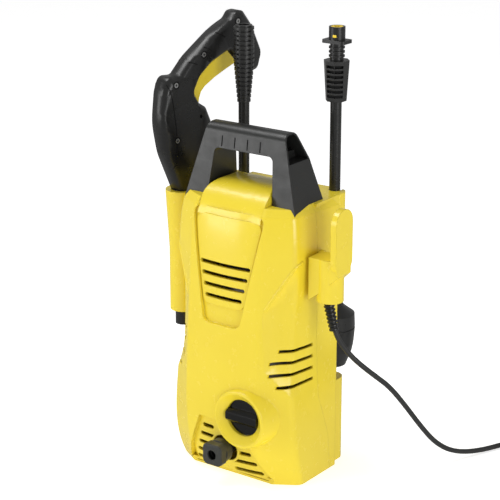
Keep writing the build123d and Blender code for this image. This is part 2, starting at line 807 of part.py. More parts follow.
def switch_block():
    """Switch behind the well, on the knob's spindle."""
    front = WELL_FLOOR_Y + WALL
    body = box(
        (KNOB_X - SWITCH_W / 2, KNOB_X + SWITCH_W / 2),
        (front, front + SWITCH_D),
        (KNOB_Z - SWITCH_H / 2, KNOB_Z + SWITCH_H / 2),
    )
    body = fillet(body.edges().filter_by(Axis.Y), WALL)
    return body - along_y(KNOB_X, KNOB_Z, -REACH, front + SWITCH_D / 2 + GAP, SPINDLE_R + RUN)


def capacitor():
    """Suppression capacitor beside the switch."""
    x = KNOB_X - SWITCH_W / 2 - CAPACITOR_R - GAP
    y = WELL_FLOOR_Y + WALL + SWITCH_D / 2
    return upright(x, y, KNOB_Z - CAPACITOR_H / 2, KNOB_Z + CAPACITOR_H / 2, CAPACITOR_R)


def stack_disc(z, height, radius, bore=0.0):
    """Round piece of the motor and pump stack."""
    disc = upright(0, STACK_Y, z, z + height, radius)
    return disc - upright(0, STACK_Y, z - 1, z + height + 1, bore) if bore > 0 else disc


def ring_places(count, radius, start=0.0):
    """Places spaced evenly round the stack's axis."""
    angles = [radians(start + 360 * index / count) for index in range(count)]
    return [(radius * cos(angle), STACK_Y + radius * sin(angle)) for angle in angles]


def bolt_places():
    """Bolts at both sides of the ports."""
    return ring_places(BOLT_COUNT, BLOCK_R - BOLT_HEAD_R - GAP)


def piston_places():
    """Pistons round the shaft's axis."""
    return ring_places(PISTON_COUNT, PISTON_RING_R, 90)


def piston_top():
    """Height of the parked pistons, just under the lowest point of the swash plate."""
    return swash_mid() - SWASH_R * tan(radians(SWASH_TILT)) - GAP


def swash_mid():
    """Height at which the tilted face of the swash plate crosses the axis."""
    return CASE_Z + CASE_H / 2


def pump_head():
    """Manifold with the water inlet and the pressure outlet."""
    head = stack_disc(HEAD_Z, HEAD_H, HEAD_R)
    head -= along_y(OUTLET_X, OUTLET_Z, -REACH, STACK_Y - HEAD_R / 2, SOCKET_R + RUN)
    head -= along_y(0, OUTLET_Z, STACK_Y + HEAD_R / 2, REACH, INLET_R - INLET_COLLAR_T + RUN)
    for x, y in bolt_places():
        head -= upright(x, y, 0, BLOCK_Z + 1, BOLT_R + RUN)
    return head


def pump_block():
    """Cylinder block with a bore for each piston."""
    block = stack_disc(BLOCK_Z, BLOCK_H, BLOCK_R)
    for x, y in piston_places():
        block -= upright(x, y, piston_top() - PISTON_LENGTH - GAP, REACH, PISTON_R + RUN)
    for x, y in bolt_places():
        block -= upright(x, y, 0, BLOCK_Z + BLOCK_H / 2 + GAP, BOLT_R + RUN)
    return block


def pump_bolts():
    """Bolts that hold the head to the block."""
    bolts = Part()
    for x, y in bolt_places():
        bolts += upright(x, y, HEAD_Z - BOLT_HEAD_T, HEAD_Z, BOLT_HEAD_R)
        bolts += upright(x, y, HEAD_Z - BOLT_HEAD_T, BLOCK_Z + BLOCK_H / 2, BOLT_R)
    return bolts


def pistons():
    """Pistons with their slipper heads."""
    group = Part()
    top = piston_top()
    for x, y in piston_places():
        group += upright(x, y, top - PISTON_LENGTH, top, PISTON_R)
        group += upright(x, y, top - PISTON_HEAD_T, top, PISTON_HEAD_R)
    return group


def swash_case():
    """Grease case round the swash plate, with a flange on the cylinder block."""
    flange = stack_disc(CASE_Z, CASE_WALL, CASE_R, BLOCK_R - CASE_WALL)
    return stack_disc(CASE_Z, CASE_H, CASE_R, CASE_R - CASE_WALL) + flange


def swash_plate():
    """Tilted plate on the shaft that drives the pistons."""
    disc = stack_disc(CASE_Z, CASE_H - GAP, SWASH_R, SHAFT_R)
    below = Pos(0, STACK_Y, swash_mid()) * Rot(SWASH_TILT, 0, 0) * Pos(0, 0, -REACH / 2)
    return disc - below * Box(REACH, REACH, REACH)


def end_plate(z):
    """Motor end plate with its bearing seat."""
    return stack_disc(z, PLATE_T, PLATE_R, BEARING_R + RUN)


def brush_box(side):
    """Limits of one carbon brush."""
    inner = COMMUTATOR_R + GAP
    outer = inner + COMMUTATOR_H
    z = STATOR_Z + STATOR_H + COMMUTATOR_H / 2
    return sorted((side * inner, side * outer)), z


def carbon_brushes(grow=0.0):
    """Pair of brushes bearing on the commutator."""
    pair = Part()
    for side in (-1, 1):
        reach, z = brush_box(side)
        pair += box(reach, (STACK_Y - BOLT_R - grow, STACK_Y + BOLT_R + grow), (z - BOLT_R - grow, z + BOLT_R + grow))
    return pair


def top_plate():
    """Upper end plate on four posts, with the brush holders."""
    plate = end_plate(TOP_Z)
    for x, y in ring_places(POST_COUNT, STATOR_R - POST_R, 180 / POST_COUNT):
        plate += upright(x, y, STATOR_Z + STATOR_H, TOP_Z + 1, POST_R)
    for side in (-1, 1):
        reach, z = brush_box(side)
        inset = (reach[0] + (WALL if side > 0 else 0), reach[1] - (WALL if side < 0 else 0))
        plate += box(inset, (STACK_Y - 2 * BOLT_R, STACK_Y + 2 * BOLT_R), (z - 2 * BOLT_R, TOP_Z + 1))
    return plate - carbon_brushes(GAP)


def bearing(z):
    """Ball bearing, as its sealed ring."""
    return stack_disc(z, PLATE_T, BEARING_R, SHAFT_R + RUN)


def rotor_shaft():
    """Motor shaft from the swash plate up to the fan."""
    foot = swash_mid() + SHAFT_R
    return stack_disc(foot, FAN_Z + FAN_H + WALL - foot, SHAFT_R)


def armature():
    """Wound armature, ribbed by its slots."""
    core = stack_disc(STATOR_Z + WALL, ARMATURE_H, ARMATURE_R, SHAFT_R)
    for x, y in ring_places(ARMATURE_SLOTS, ARMATURE_R):
        core -= upright(x, y, 0, 2 * REACH, WALL / 2)
    return core


def commutator():
    """Commutator under the brushes."""
    return stack_disc(STATOR_Z + STATOR_H, COMMUTATOR_H, COMMUTATOR_R, SHAFT_R)


def stator():
    """Field stack of the motor."""
    return stack_disc(STATOR_Z, STATOR_H, STATOR_R, STATOR_BORE_R)


def cooling_fan():
    """Radial fan on the top of the shaft."""
    fan = stack_disc(FAN_Z, FAN_H, FAN_HUB_R, SHAFT_R)
    fan += stack_disc(FAN_Z, FAN_BLADE_T, FAN_R, FAN_HUB_R - 1)
    for index in range(FAN_BLADES):
        blade = box((FAN_HUB_R - 1, FAN_R), (-FAN_BLADE_T / 2, FAN_BLADE_T / 2), (FAN_Z, FAN_Z + FAN_H))
        fan += Pos(0, STACK_Y, 0) * Rot(0, 0, 360 * index / FAN_BLADES) * blade
    return fan


def outlet_socket():
    """Pressure outlet from the pump head to the front."""
    rear = STACK_Y - HEAD_R / 2
    tube = along_y(OUTLET_X, OUTLET_Z, SOCKET_FRONT_Y, rear, SOCKET_R)
    return tube - along_y(OUTLET_X, OUTLET_Z, -REACH, rear - SOCKET_R, SOCKET_BORE_R)


def coupling_sleeve():
    """Rounded square sleeve that slides on the outlet to free the hose."""
    outline = Pos(OUTLET_X, OUTLET_Z) * RectangleRounded(SLEEVE_W, SLEEVE_H, SLEEVE_R)
    rear = SLEEVE_FRONT_Y + SLEEVE_LENGTH
    step = SLEEVE_FRONT_Y + SLEEVE_BLOCK
    sleeve = front_prism(outline, SLEEVE_FRONT_Y, step)
    sleeve = chamfer(sleeve.edges().group_by(Axis.Y)[0], SLEEVE_LIP / 2)
    sleeve += along_y(OUTLET_X, OUTLET_Z, step, rear, SLEEVE_FLANGE_R)
    sleeve -= along_y(OUTLET_X, OUTLET_Z, SLEEVE_FRONT_Y + SLEEVE_LIP, REACH, SOCKET_R + RUN)
    return sleeve - along_y(OUTLET_X, OUTLET_Z, -REACH, REACH, SOCKET_BORE_R + 1)


def water_inlet():
    """Water inlet from the rear wall into the pump head."""
    front = STACK_Y + HEAD_R / 2
    seat = REAR_Y + INLET_COLLAR_T
    inlet = along_y(0, OUTLET_Z, front, REAR_Y, INLET_R - INLET_COLLAR_T)
    inlet += along_y(0, OUTLET_Z, REAR_Y, seat, INLET_COLLAR_R)
    inlet += along_y(0, OUTLET_Z, REAR_Y - FILTER_LENGTH, seat + INLET_THREAD, INLET_R)
    return inlet - along_y(0, OUTLET_Z, seat - FILTER_LENGTH / 2, REACH, INLET_BORE_R)


def inlet_filter():
    """Strainer inside the water inlet."""
    rear = REAR_Y + INLET_COLLAR_T + INLET_THREAD / 2
    cup = along_y(0, OUTLET_Z, rear - FILTER_LENGTH + INLET_COLLAR_T, rear, FILTER_R)
    return cup - along_y(0, OUTLET_Z, rear - FILTER_LENGTH + INLET_COLLAR_T + WALL / 2, REACH, FILTER_R - WALL / 2)


def gun_plane():
    """Upright plane of the gun: first axis towards the grip, second axis up."""
    turn = radians(GUN_TURN)
    return Plane(origin=(GUN_X, GUN_Y, 0), x_dir=(cos(turn), sin(turn), 0), z_dir=(sin(turn), -cos(turn), 0))


def in_gun(outline, low, high):
    """Outline of the gun's plane carried between two depths of its thickness."""
    return extrude(gun_plane().offset(low) * outline, amount=high - low)


def gun_disc(s, z, low, high, radius):
    """Round piece across the gun."""
    return in_gun(Pos(s, z) * Circle(radius), low, high)


def gun_outline():
    """Side view of the gun: nose, hump, raked grip and butt, as corner points with their radii."""
    corners = [
        (-29, 392, 80),
        (-37, 432, 90),
        (-32.5, 472, 40),
        (-25, 490, 10),
        (-6, 488.6, 8),
        (14, 508.5, 60),
        (60, 539, 150),
        (84, 548.5, 12),
        (91, 557.5, 8),
        (104, 558.5, 9),
        (121, 537, 60),
        (138.5, 500, 14),
        (131, 476.5, 8),
        (112, 480.5, 14),
        (81, 511, 8),
        (50, 498, 60),
        (30, 483, 30),
        (19.5, 464, 10),
        (28, 449.5, 8),
        (40, 442, 10),
        (50, 420, 12),
        (41, 400, 20),
        (25, 362, 60),
    ]
    front = (-6, GUN_FOOT_Z)
    rear = (20, GUN_FOOT_Z)
    points = [front] + [(s, z) for s, z, _ in corners] + [rear]
    contour = FilletPolyline(*points, radius=[radius for _, _, radius in corners])
    return make_face(contour + Line(rear, front))


def trigger_outline(turn=0.0):
    """Side view of the trigger, turned about its pin."""
    s, z = TRIGGER_PIVOT
    blade = Polygon(
        (s - TRIGGER_EYE_R, z),
        (s + TRIGGER_EYE_R, z),
        (29, 448),
        (30, 455),
        (33.5, 463),
        (40, 469),
        (57, 478),
        (77, 486),
        (95, 492.5),
        (79, 509),
        (52, 500.5),
        (34, 489),
        (24, 478),
        (18, 465),
        (18.5, 452),
        align=None,
    )
    face = blade + Pos(s, z) * Circle(TRIGGER_EYE_R)
    return Pos(s, z) * Rot(0, 0, turn) * Pos(-s, -z) * face


def trigger_way():
    """Slot in the gun that the trigger sweeps, open to the finger side."""
    s, z = TRIGGER_PIVOT
    steps = 5
    way = Pos(s, z) * Circle(TRIGGER_EYE_R + 2 * GAP)
    for index in range(steps + 1):
        way += offset(trigger_outline(TRIGGER_PULL * index / steps), 2 * GAP)
    half = TRIGGER_T / 2 + GAP
    return in_gun(way, -half, half)


def lock_way():
    """Slot in the gun that the trigger lock slides in."""
    half = LOCK_T / 2 + GAP
    height = LOCK_H + LOCK_TRAVEL + 2 * GAP
    slot = Pos(LOCK_S, LOCK_Z + LOCK_TRAVEL / 2) * Rectangle(LOCK_W + 2 * GAP, height)
    return in_gun(slot, -half, half)


def gun_screw_places():
    """Places of the gun's screws on its near side."""
    return [(92, 546), (33, 511), (-14, 479), (-13, 408)]


def gun_half(side):
    """One bevelled half of the gun's casing."""
    half = in_gun(gun_outline(), *sorted((0, side * GUN_HALF_T)))
    across = Axis(gun_plane().origin, side * gun_plane().z_dir)
    outer = half.faces().sort_by(across)[-1]
    rim = outer.edges().filter_by(lambda edge: edge.center().Z > GUN_FOOT_Z + GAP)
    half = chamfer(rim, GUN_BEVEL)
    half -= trigger_way() + lock_way()
    half -= gun_disc(*TRIGGER_PIVOT, -GUN_HALF_T, GUN_HALF_T, TRIGGER_PIN_R + RUN)
    for s, z in gun_screw_places():
        half -= gun_disc(s, z, GUN_HALF_T - SCREW_HEAD_T, GUN_HALF_T + 1, SCREW_HEAD_R + GAP)
        half -= gun_disc(s, z, GUN_HALF_T - SCREW_LENGTH, GUN_HALF_T, SCREW_R + RUN)
    return half - hose_socket(RUN)


def gun_screws():
    """Screws that close the gun's casing."""
    screws = Part()
    for s, z in gun_screw_places():
        screws += gun_disc(s, z, GUN_HALF_T - SCREW_HEAD_T, GUN_HALF_T, SCREW_HEAD_R)
        screws += gun_disc(s, z, GUN_HALF_T - SCREW_LENGTH, GUN_HALF_T, SCREW_R)
    return screws


def hose_axis():
    """Plane whose normal leaves the gun's butt along the hose socket."""
    plane = gun_plane()
    mouth = plane.from_local_coords(Vector(*HOSE_SOCKET_MOUTH))
    s, z = HOSE_SOCKET_WAY
    return Plane(origin=mouth, z_dir=plane.x_dir * s + plane.y_dir * z)


def hose_socket(grow=0.0):
    """Socket for the hose in the gun's butt."""
    tube = Pos(0, 0, -HOSE_SOCKET_LENGTH / 2) * Cylinder(HOSE_SOCKET_R + grow, HOSE_SOCKET_LENGTH)
    if grow == 0:
        tube -= Cylinder(HOSE_SOCKET_BORE_R, HOSE_SOCKET_LENGTH)
    return hose_axis() * tube


def gun_barrel():
    """Barrel of the gun with the bayonet socket at its tip."""
    profile = [
        (BARREL_BORE_R, BARREL_TIP_Z),
        (BARREL_TIP_R, BARREL_TIP_Z),
        (BARREL_TIP_R, BARREL_STEP_Z),
        (BARREL_R, BARREL_STEP_Z),
        (BARREL_R, GUN_FOOT_Z),
        (0, GUN_FOOT_Z),
        (0, BARREL_STEP_Z),
        (BARREL_BORE_R, BARREL_STEP_Z),
    ]
    x, y = barrel_axis()
    return turned(x, y, profile)


def trigger():
    """Squeeze trigger on its pin."""
    half = TRIGGER_T / 2
    return in_gun(trigger_outline(), -half, half) - gun_disc(*TRIGGER_PIVOT, -half, half, TRIGGER_PIN_R + RUN)


def trigger_pin():
    """Pin across both halves of the gun."""
    reach = GUN_HALF_T - GUN_BEVEL
    return gun_disc(*TRIGGER_PIVOT, -reach, reach, TRIGGER_PIN_R)


def trigger_lock():
    """Slide that blocks the trigger."""
    return in_gun(Pos(LOCK_S, LOCK_Z) * Rectangle(LOCK_W, LOCK_H), -LOCK_T / 2, LOCK_T / 2)


def lance_connector(x, z_end, down):
    """Bayonet connector of a lance, measured from its free end."""
    sign = -1 if down else 1
    neck = CONNECTOR_LUG_D + CONNECTOR_LUG_T
    pitch = (CONNECTOR_H - neck) / (NECK_RIBS + 1)
    ends = [(RING_R + RUN, RING_H), (RING_R + RUN, 0), (CONNECTOR_R, 0), (CONNECTOR_R, neck), (CONNECTOR_NECK_R, neck)]
    for index in range(NECK_RIBS):
        near = neck + pitch * (index + 1) - NECK_RIB_T / 2
        far = near + NECK_RIB_T
        ends += [(CONNECTOR_NECK_R, near), (NECK_RIB_R, near), (NECK_RIB_R, far), (CONNECTOR_NECK_R, far)]
    ends += [(CONNECTOR_NECK_R, CONNECTOR_H), (LANCE_BORE_R, CONNECTOR_H), (LANCE_BORE_R, RING_H)]
    piece = turned(x, LANCE_Y, [(radius, z_end + sign * d) for radius, d in ends])
    z = sorted((z_end + sign * CONNECTOR_LUG_D, z_end + sign * neck))
    lug = box((x - CONNECTOR_LUG_R, x + CONNECTOR_LUG_R), (LANCE_Y - CONNECTOR_LUG_W, LANCE_Y + CONNECTOR_LUG_W), z)
    lug = fillet(lug.edges().filter_by(Axis.Z), CONNECTOR_LUG_T)
    return piece + (lug - upright(x, LANCE_Y, 0, REACH * 4, LANCE_BORE_R))


def lance_ring(x, z_end, down):
    """Seal ring at the free end of a lance."""
    sign = -1 if down else 1
    z = sorted((z_end, z_end + sign * RING_H))
    return upright(x, LANCE_Y, *z, RING_R) - upright(x, LANCE_Y, z[0] - 1, z[1] + 1, LANCE_BORE_R)


def lance_grip(x, z_end, down):
    """Flattened grip of a lance with a ladder of pockets on two sides."""
    sign = -1 if down else 1
    z_wide = z_end + sign * CONNECTOR_H
    z_slim = z_wide + sign * LANCE_GRIP_H
    wide = Pos(x, LANCE_Y, z_wide) * RegularPolygon(LANCE_GRIP_R, 8, rotation=22.5)
    slim = Pos(x, LANCE_Y, z_slim) * RegularPolygon(LANCE_GRIP_LOW_R, 8, rotation=22.5)
    grip = loft([wide, slim], ruled=True)
    pitch = (LANCE_GRIP_H - 2 * GRIP_POCKET_H) / GRIP_POCKET_COUNT
    for index in range(GRIP_POCKET_COUNT):
        z = z_wide + sign * (GRIP_POCKET_H + pitch * (index + 0.5))
        depth = LANCE_GRIP_LOW_R - GRIP_POCKET_D
        for turn in (0, 45, 180, 225):
            pocket = Pos(0, -depth - GRIP_POCKET_D, 0) * Box(GRIP_POCKET_W, 2 * GRIP_POCKET_D, GRIP_POCKET_H)
            grip -= Pos(x, LANCE_Y, z) * Rot(0, 0, turn) * pocket
    return grip - upright(x, LANCE_Y, 0, 4 * REACH, LANCE_R + RUN)


def lance_tube(x, z_low, z_high):
    """Plain tube of a lance."""
    return upright(x, LANCE_Y, z_low, z_high, LANCE_R) - upright(x, LANCE_Y, z_low - 1, z_high + 1, LANCE_BORE_R)


def rotor_nozzle():
    """Bulbous rotor nozzle at the foot of the right lance."""
    low = BAY_FLOOR_Z + STAND_H + GAP
    seat = LANCE_R + RUN
    tube_end = nozzle_tube_end()
    profile = [
        (NOZZLE_TIP_BORE_R, low),
        *[(NOZZLE_R * share, low + NOZZLE_H * rise) for share, rise in NOZZLE_SHARES],
        (seat + WALL, low + NOZZLE_H),
        (seat, low + NOZZLE_H),
        (seat, tube_end),
        (NOZZLE_TIP_BORE_R, tube_end),
    ]
    return turned(LANCE_X, LANCE_Y, profile)


def nozzle_tube_end():
    """Height at which the right lance's tube ends in its nozzle."""
    return BAY_FLOOR_Z + STAND_H + GAP + NOZZLE_H - NOZZLE_SOCKET


def vario_head():
    """Ribbed twist head of the left lance, tapering to the tube."""
    low = VARIO_TOP_Z - VARIO_H
    pitch = VARIO_H / VARIO_FINS
    profile = [(LANCE_R + RUN, VARIO_TOP_Z), (LANCE_R + RUN, low)]
    for index in range(VARIO_FINS):
        share = min(1.0, 2 * index / VARIO_FINS)
        radius = VARIO_LOW_R + (VARIO_R - VARIO_LOW_R) * share
        waist = max(radius - VARIO_FIN_DEPTH, LANCE_R + RUN + 1)
        z = low + index * pitch
        profile += [(radius, z), (radius, z + 0.6 * pitch), (waist, z + 0.6 * pitch), (waist, z + pitch)]
    return turned(-LANCE_X, LANCE_Y, profile)


def vario_tip():
    """Nozzle in the mouth of the twist head, on the end of the tube."""
    top = VARIO_TOP_Z - VARIO_TIP_INSET
    profile = [
        (VARIO_TIP_BORE_R, top - VARIO_TIP_H),
        (LANCE_R, top - VARIO_TIP_H),
        (LANCE_R, top),
        (LANCE_BORE_R, top),
        (VARIO_TIP_BORE_R, top - VARIO_TIP_BORE_R),
    ]
    return turned(-LANCE_X, LANCE_Y, profile)


def boot_frame():
    """Plane at the gland whose normal follows the cord out of the boot."""
    return Plane(origin=(BOOT_X, HOOK_Y, GLAND_LOW_Z), z_dir=BOOT_TILT)


def boot_seat():
    """Hole for the boot in the gland's column."""
    return boot_frame() * Cylinder(BOOT_R + RUN, 2 * BOOT_SEAT)


def cord_boot():
    """Tapered boot ribbed along the cord, which is seated in its mouth."""
    free = BOOT_LENGTH - BOOT_SEAT
    profile = [
        (CORD_R + BOOT_FLARE, free),
        (CORD_R, free - 2 * BOOT_EASE),
        (CORD_R, free - BOOT_MOUTH),
        (0, free - BOOT_MOUTH),
        (0, -BOOT_SEAT),
        (BOOT_R, -BOOT_SEAT),
        (BOOT_R, 0),
    ]
    pitch = free / BOOT_RIBS
    for index in range(BOOT_RIBS):
        radius = BOOT_R + (BOOT_LOW_R - BOOT_R) * (index + 1) / BOOT_RIBS
        z = index * pitch
        waist = radius - BOOT_RIB_DEPTH
        profile += [(waist, z + 0.2 * pitch), (radius, z + 0.45 * pitch), (radius, z + 0.8 * pitch), (waist, z + pitch)]
    outline = make_face(Plane.XZ * Polyline(*profile, close=True))
    return boot_frame() * revolve(outline, Axis.Z)


def cord_route():
    """Points of the free cord from the mouth of the boot to the start of the coil."""
    frame = boot_frame()
    mouth = BOOT_LENGTH - BOOT_SEAT
    start = frame.origin + frame.z_dir * (mouth - BOOT_MOUTH)
    bend = frame.origin + frame.z_dir * (mouth + BOOT_EASE)
    points, ways = coil_points()
    lead_in = points[0] - ways[0] * LEAD_RUN
    return [start, bend] + [Vector(*point) for point in CORD_POINTS] + [lead_in, points[0]]


def corner_radii(points):
    """Largest bend at each corner: 0.45 of the shorter run over the tangent of half the turn."""
    radii = []
    for before, here, after in zip(points, points[1:], points[2:]):
        run = min((here - before).length, (after - here).length)
        turn = radians((here - before).get_angle(after - here))
        radii.append(0.45 * run / tan(turn / 2))
    return radii


def tube_along(path, radius):
    """Round tube swept along a path of lines and arcs."""
    start = Plane(origin=path @ 0, z_dir=path % 0)
    return sweep(start * Circle(radius), path=path)


def power_cord():
    """Free stretch of the mains lead."""
    points = cord_route()
    radii = corner_radii(points)
    path = FilletPolyline(*points, radius=radii)
    cord = tube_along(path, CORD_R)
    print("cord radii", [round(radius) for radius in radii], "length", round(path.length))
    print("cord volume share", round(cord.volume / (pi * CORD_R**2 * path.length), 4))
    return cord


def coil_height(turns):
    """Height of the cord in the coil after a number of turns, climbing round each reversal."""
    base = TIE_T + GAP + CORD_R
    climbed = 0.0
    for layer in range(1, COIL_LAYERS):
        share = (turns - layer * COIL_TURNS) / 0.5 + 0.5
        share = min(1.0, max(0.0, share))
        climbed += share * share * (3 - 2 * share)
    return base + COIL_LAYER * climbed


def coil_point(turns):
    """Point of the coil after a number of turns from its start."""
    layer = min(int(turns / COIL_TURNS), COIL_LAYERS - 1)
    along = turns - layer * COIL_TURNS
    steps = COIL_TURNS - along if layer % 2 == 0 else along
    radius = COIL_IN_R + COIL_PITCH * steps
    angle = radians(COIL_START) - 2 * pi * turns
    return Vector(COIL_X + radius * cos(angle), COIL_Y + radius * sin(angle), coil_height(turns))


def coil_points():
    """Half-turn points of the coil with the direction of the cord at each."""
    total = COIL_TURNS * COIL_LAYERS
    count = round(total * 4)
    small = 1 / 64
    points = []
    ways = []
    for index in range(count + 1):
        turns = total * index / count
        before = max(0.0, turns - small)
        after = min(total, turns + small)
        points.append(coil_point(turns))
        ways.append((coil_point(after) - coil_point(before)).normalized())
    return points, ways


def biarc(start, start_way, end, end_way):
    """Two tangent arcs between two points with given directions."""
    span = end - start
    both = start_way + end_way
    a = 2 * (start_way.dot(end_way) - 1)
    b = -2 * span.dot(both)
    c = span.dot(span)
    reach = (-b - (b * b - 4 * a * c) ** 0.5) / (2 * a) if abs(a) > 1e-9 else -c / b
    middle = (start + start_way * reach + end - end_way * reach) * 0.5
    first = TangentArc(start, middle, tangent=start_way)
    second = TangentArc(middle, end, tangent=first % 1)
    return first, second


def tail_points():
    """Points of the tail: end of the coil, end of its drop and end inside the plug, with its direction."""
    points, ways = coil_points()
    way = Vector(ways[-1].X, ways[-1].Y, 0).normalized()
    drop = points[-1] + way * TAIL_RUN
    drop = Vector(drop.X, drop.Y, PLUG_R + GAP)
    return points[-1], drop, drop + way * TAIL_SEAT, way


def coil_path():
    """Whole path of the coil, its tail and the straight run into the plug."""
    points, ways = coil_points()
    edges = []
    for index in range(len(points) - 1):
        edges += biarc(points[index], ways[index], points[index + 1], ways[index + 1])
    end, drop, inside, way = tail_points()
    edges += biarc(end, ways[-1], drop, way)
    edges.append(Line(drop, inside))
    return Wire(edges)


def coil_gap():
    """Least gap between neighbouring turns, measured on points along the coil."""
    samples = round(COIL_TURNS * COIL_LAYERS * 48)
    points = [coil_point(COIL_TURNS * COIL_LAYERS * index / samples) for index in range(samples + 1)]
    least = min(
        (points[first] - points[second]).length
        for first in range(len(points))
        for second in range(first + 24, len(points))
    )
    return least - 2 * CORD_R


def cord_coil():
    """Put-away length of the lead, wound in layers, with its tail to the plug."""
    path = coil_path()
    coil = tube_along(path, CORD_R)
    print("coil length", round(path.length), "gap", round(coil_gap(), 2))
    print("coil volume share", round(coil.volume / (pi * CORD_R**2 * path.length), 4))
    return coil


def coil_tie():
    """Flat tie round the coil, opposite the place where the cord comes in."""
    inner = COIL_IN_R - CORD_R - TIE_PLAY
    outer = COIL_IN_R + COIL_PITCH * COIL_TURNS + CORD_R + TIE_PLAY
    top = TIE_T + GAP + 2 * CORD_R + COIL_LAYER * (COIL_LAYERS - 1) + TIE_PLAY
    band = box((inner - TIE_T, outer + TIE_T), (-TIE_W / 2, TIE_W / 2), (0, top + TIE_T))
    band -= box((inner, outer), (-TIE_W, TIE_W), (TIE_T, top))
    return Pos(COIL_X, COIL_Y, 0) * Rot(0, 0, COIL_START + 180) * band


def plug_plane():
    """Plane at the cord's end of the plug, with its normal along the plug."""
    _, _, inside, way = tail_points()
    return Plane(origin=inside - way * (TAIL_SEAT / 2), x_dir=(0, 0, 1), z_dir=way)


def plug_body():
    """Moulded round plug on the end of the lead."""
    seat = TAIL_SEAT / 2
    profile = [
        (CORD_R, 0),
        (CORD_R, seat),
        (0, seat),
        (0, PLUG_LENGTH),
        (PLUG_R, PLUG_LENGTH),
        (PLUG_R, PLUG_LENGTH - PLUG_FACE_T),
        (PLUG_NECK_R + CORD_R, PLUG_FACE_T),
        (PLUG_NECK_R, 0),
    ]
    outline = make_face(Plane.XZ * Polyline(*profile, close=True))
    body = revolve(outline, Axis.Z)
    for side in (-1, 1):
        y = side * PIN_PITCH / 2
        body -= upright(0, y, PLUG_LENGTH - PIN_LENGTH / 2, PLUG_LENGTH, PIN_R)
    return plug_plane() * body


def plug_pins():
    """Pair of round pins."""
    pins = Part()
    for side in (-1, 1):
        y = side * PIN_PITCH / 2
        pins += upright(0, y, PLUG_LENGTH - PIN_LENGTH / 2, PLUG_LENGTH + PIN_LENGTH, PIN_R)
    return plug_plane() * pins


def housing_pieces():
    """Shells, handle, switch and their fasteners."""
    whole = housing_form() - housing_form(WALL)
    return {
        "front_shell": front_shell(whole) - screw_ways(),
        "rear_shell": rear_shell(whole) - screw_ways(),
        "carry_handle": carry_handle() - screw_ways(),
        "shell_screws": shell_screws(),
        "handle_screws": handle_screws(),
        "switch_knob": switch_knob(),
        "switch_block": switch_block(),
        "capacitor": capacitor(),
    }


def pump_pieces():
    """Pump, motor, water inlet and outlet."""
    return {
        "pump_head": pump_head(),
        "pump_block": pump_block(),
        "pump_bolts": pump_bolts(),
        "pistons": pistons(),
        "swash_case": swash_case(),
        "swash_plate": swash_plate(),
        "lower_plate": end_plate(PLATE_Z),
        "top_plate": top_plate(),
        "lower_bearing": bearing(PLATE_Z),
        "upper_bearing": bearing(TOP_Z),
        "rotor_shaft": rotor_shaft(),
        "armature": armature(),
        "commutator": commutator(),
        "stator": stator(),
        "carbon_brushes": carbon_brushes(),
        "cooling_fan": cooling_fan(),
        "outlet_socket": outlet_socket(),
        "coupling_sleeve": coupling_sleeve(),
        "water_inlet": water_inlet(),
        "inlet_filter": inlet_filter(),
    }


def gun_pieces():
    """Trigger gun."""
    return {
        "gun_near_half": gun_half(1),
        "gun_far_half": gun_half(-1),
        "gun_screws": gun_screws(),
        "gun_barrel": gun_barrel(),
        "hose_socket": hose_socket(),
        "trigger": trigger(),
        "trigger_pin": trigger_pin(),
        "trigger_lock": trigger_lock(),
    }


def lance_pieces():
    """Both lances, one with its free end up and one with its free end down."""
    low_end = BAY_FLOOR_Z + GAP
    top_grip = LANCE_TOP_Z - CONNECTOR_H
    low_grip = low_end + CONNECTOR_H
    tip_seat = VARIO_TOP_Z - VARIO_TIP_INSET - VARIO_TIP_H
    return {
        "rotor_ring": lance_ring(LANCE_X, LANCE_TOP_Z, True),
        "rotor_connector": lance_connector(LANCE_X, LANCE_TOP_Z, True),
        "rotor_grip": lance_grip(LANCE_X, LANCE_TOP_Z, True),
        "rotor_tube": lance_tube(LANCE_X, nozzle_tube_end(), top_grip),
        "rotor_nozzle": rotor_nozzle(),
        "vario_ring": lance_ring(-LANCE_X, low_end, False),
        "vario_connector": lance_connector(-LANCE_X, low_end, False),
        "vario_grip": lance_grip(-LANCE_X, low_end, False),
        "vario_tube": lance_tube(-LANCE_X, low_grip, tip_seat),
        "vario_tip": vario_tip(),
        "vario_head": vario_head(),
    }


def cord_pieces():
    """Mains lead from its boot to its plug."""
    return {
        "cord_boot": cord_boot(),
        "power_cord": power_cord(),
        "cord_coil": cord_coil(),
        "coil_tie": coil_tie(),
        "plug_body": plug_body(),
        "plug_pins": plug_pins(),
    }


def main():
    """Build every piece and write it to the parts folder."""
    os.makedirs("parts", exist_ok=True)
    for group in (housing_pieces, pump_pieces, gun_pieces, lance_pieces, cord_pieces):
        for name, piece in group().items():
            print(name, piece.is_valid, len(piece.solids()), round(piece.volume))
            export_step(piece, f"parts/{name}.step")


main()
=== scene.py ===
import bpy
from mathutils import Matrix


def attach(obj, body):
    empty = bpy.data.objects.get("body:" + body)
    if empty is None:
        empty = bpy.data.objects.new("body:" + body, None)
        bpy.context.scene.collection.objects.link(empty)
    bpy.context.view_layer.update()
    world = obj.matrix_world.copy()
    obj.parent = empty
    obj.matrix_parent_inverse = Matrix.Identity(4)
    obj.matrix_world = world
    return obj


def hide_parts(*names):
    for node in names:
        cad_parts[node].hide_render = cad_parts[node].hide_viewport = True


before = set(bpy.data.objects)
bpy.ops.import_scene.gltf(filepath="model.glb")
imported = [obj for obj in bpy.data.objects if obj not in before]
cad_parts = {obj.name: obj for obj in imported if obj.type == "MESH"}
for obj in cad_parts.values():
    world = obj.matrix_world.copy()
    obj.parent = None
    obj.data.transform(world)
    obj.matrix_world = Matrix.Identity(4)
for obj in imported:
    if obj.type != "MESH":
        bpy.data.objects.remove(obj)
"""Dresses the pressure washer: its finishes, fine mouldings, mains lead and studio."""
import logging
import math
from dataclasses import dataclass
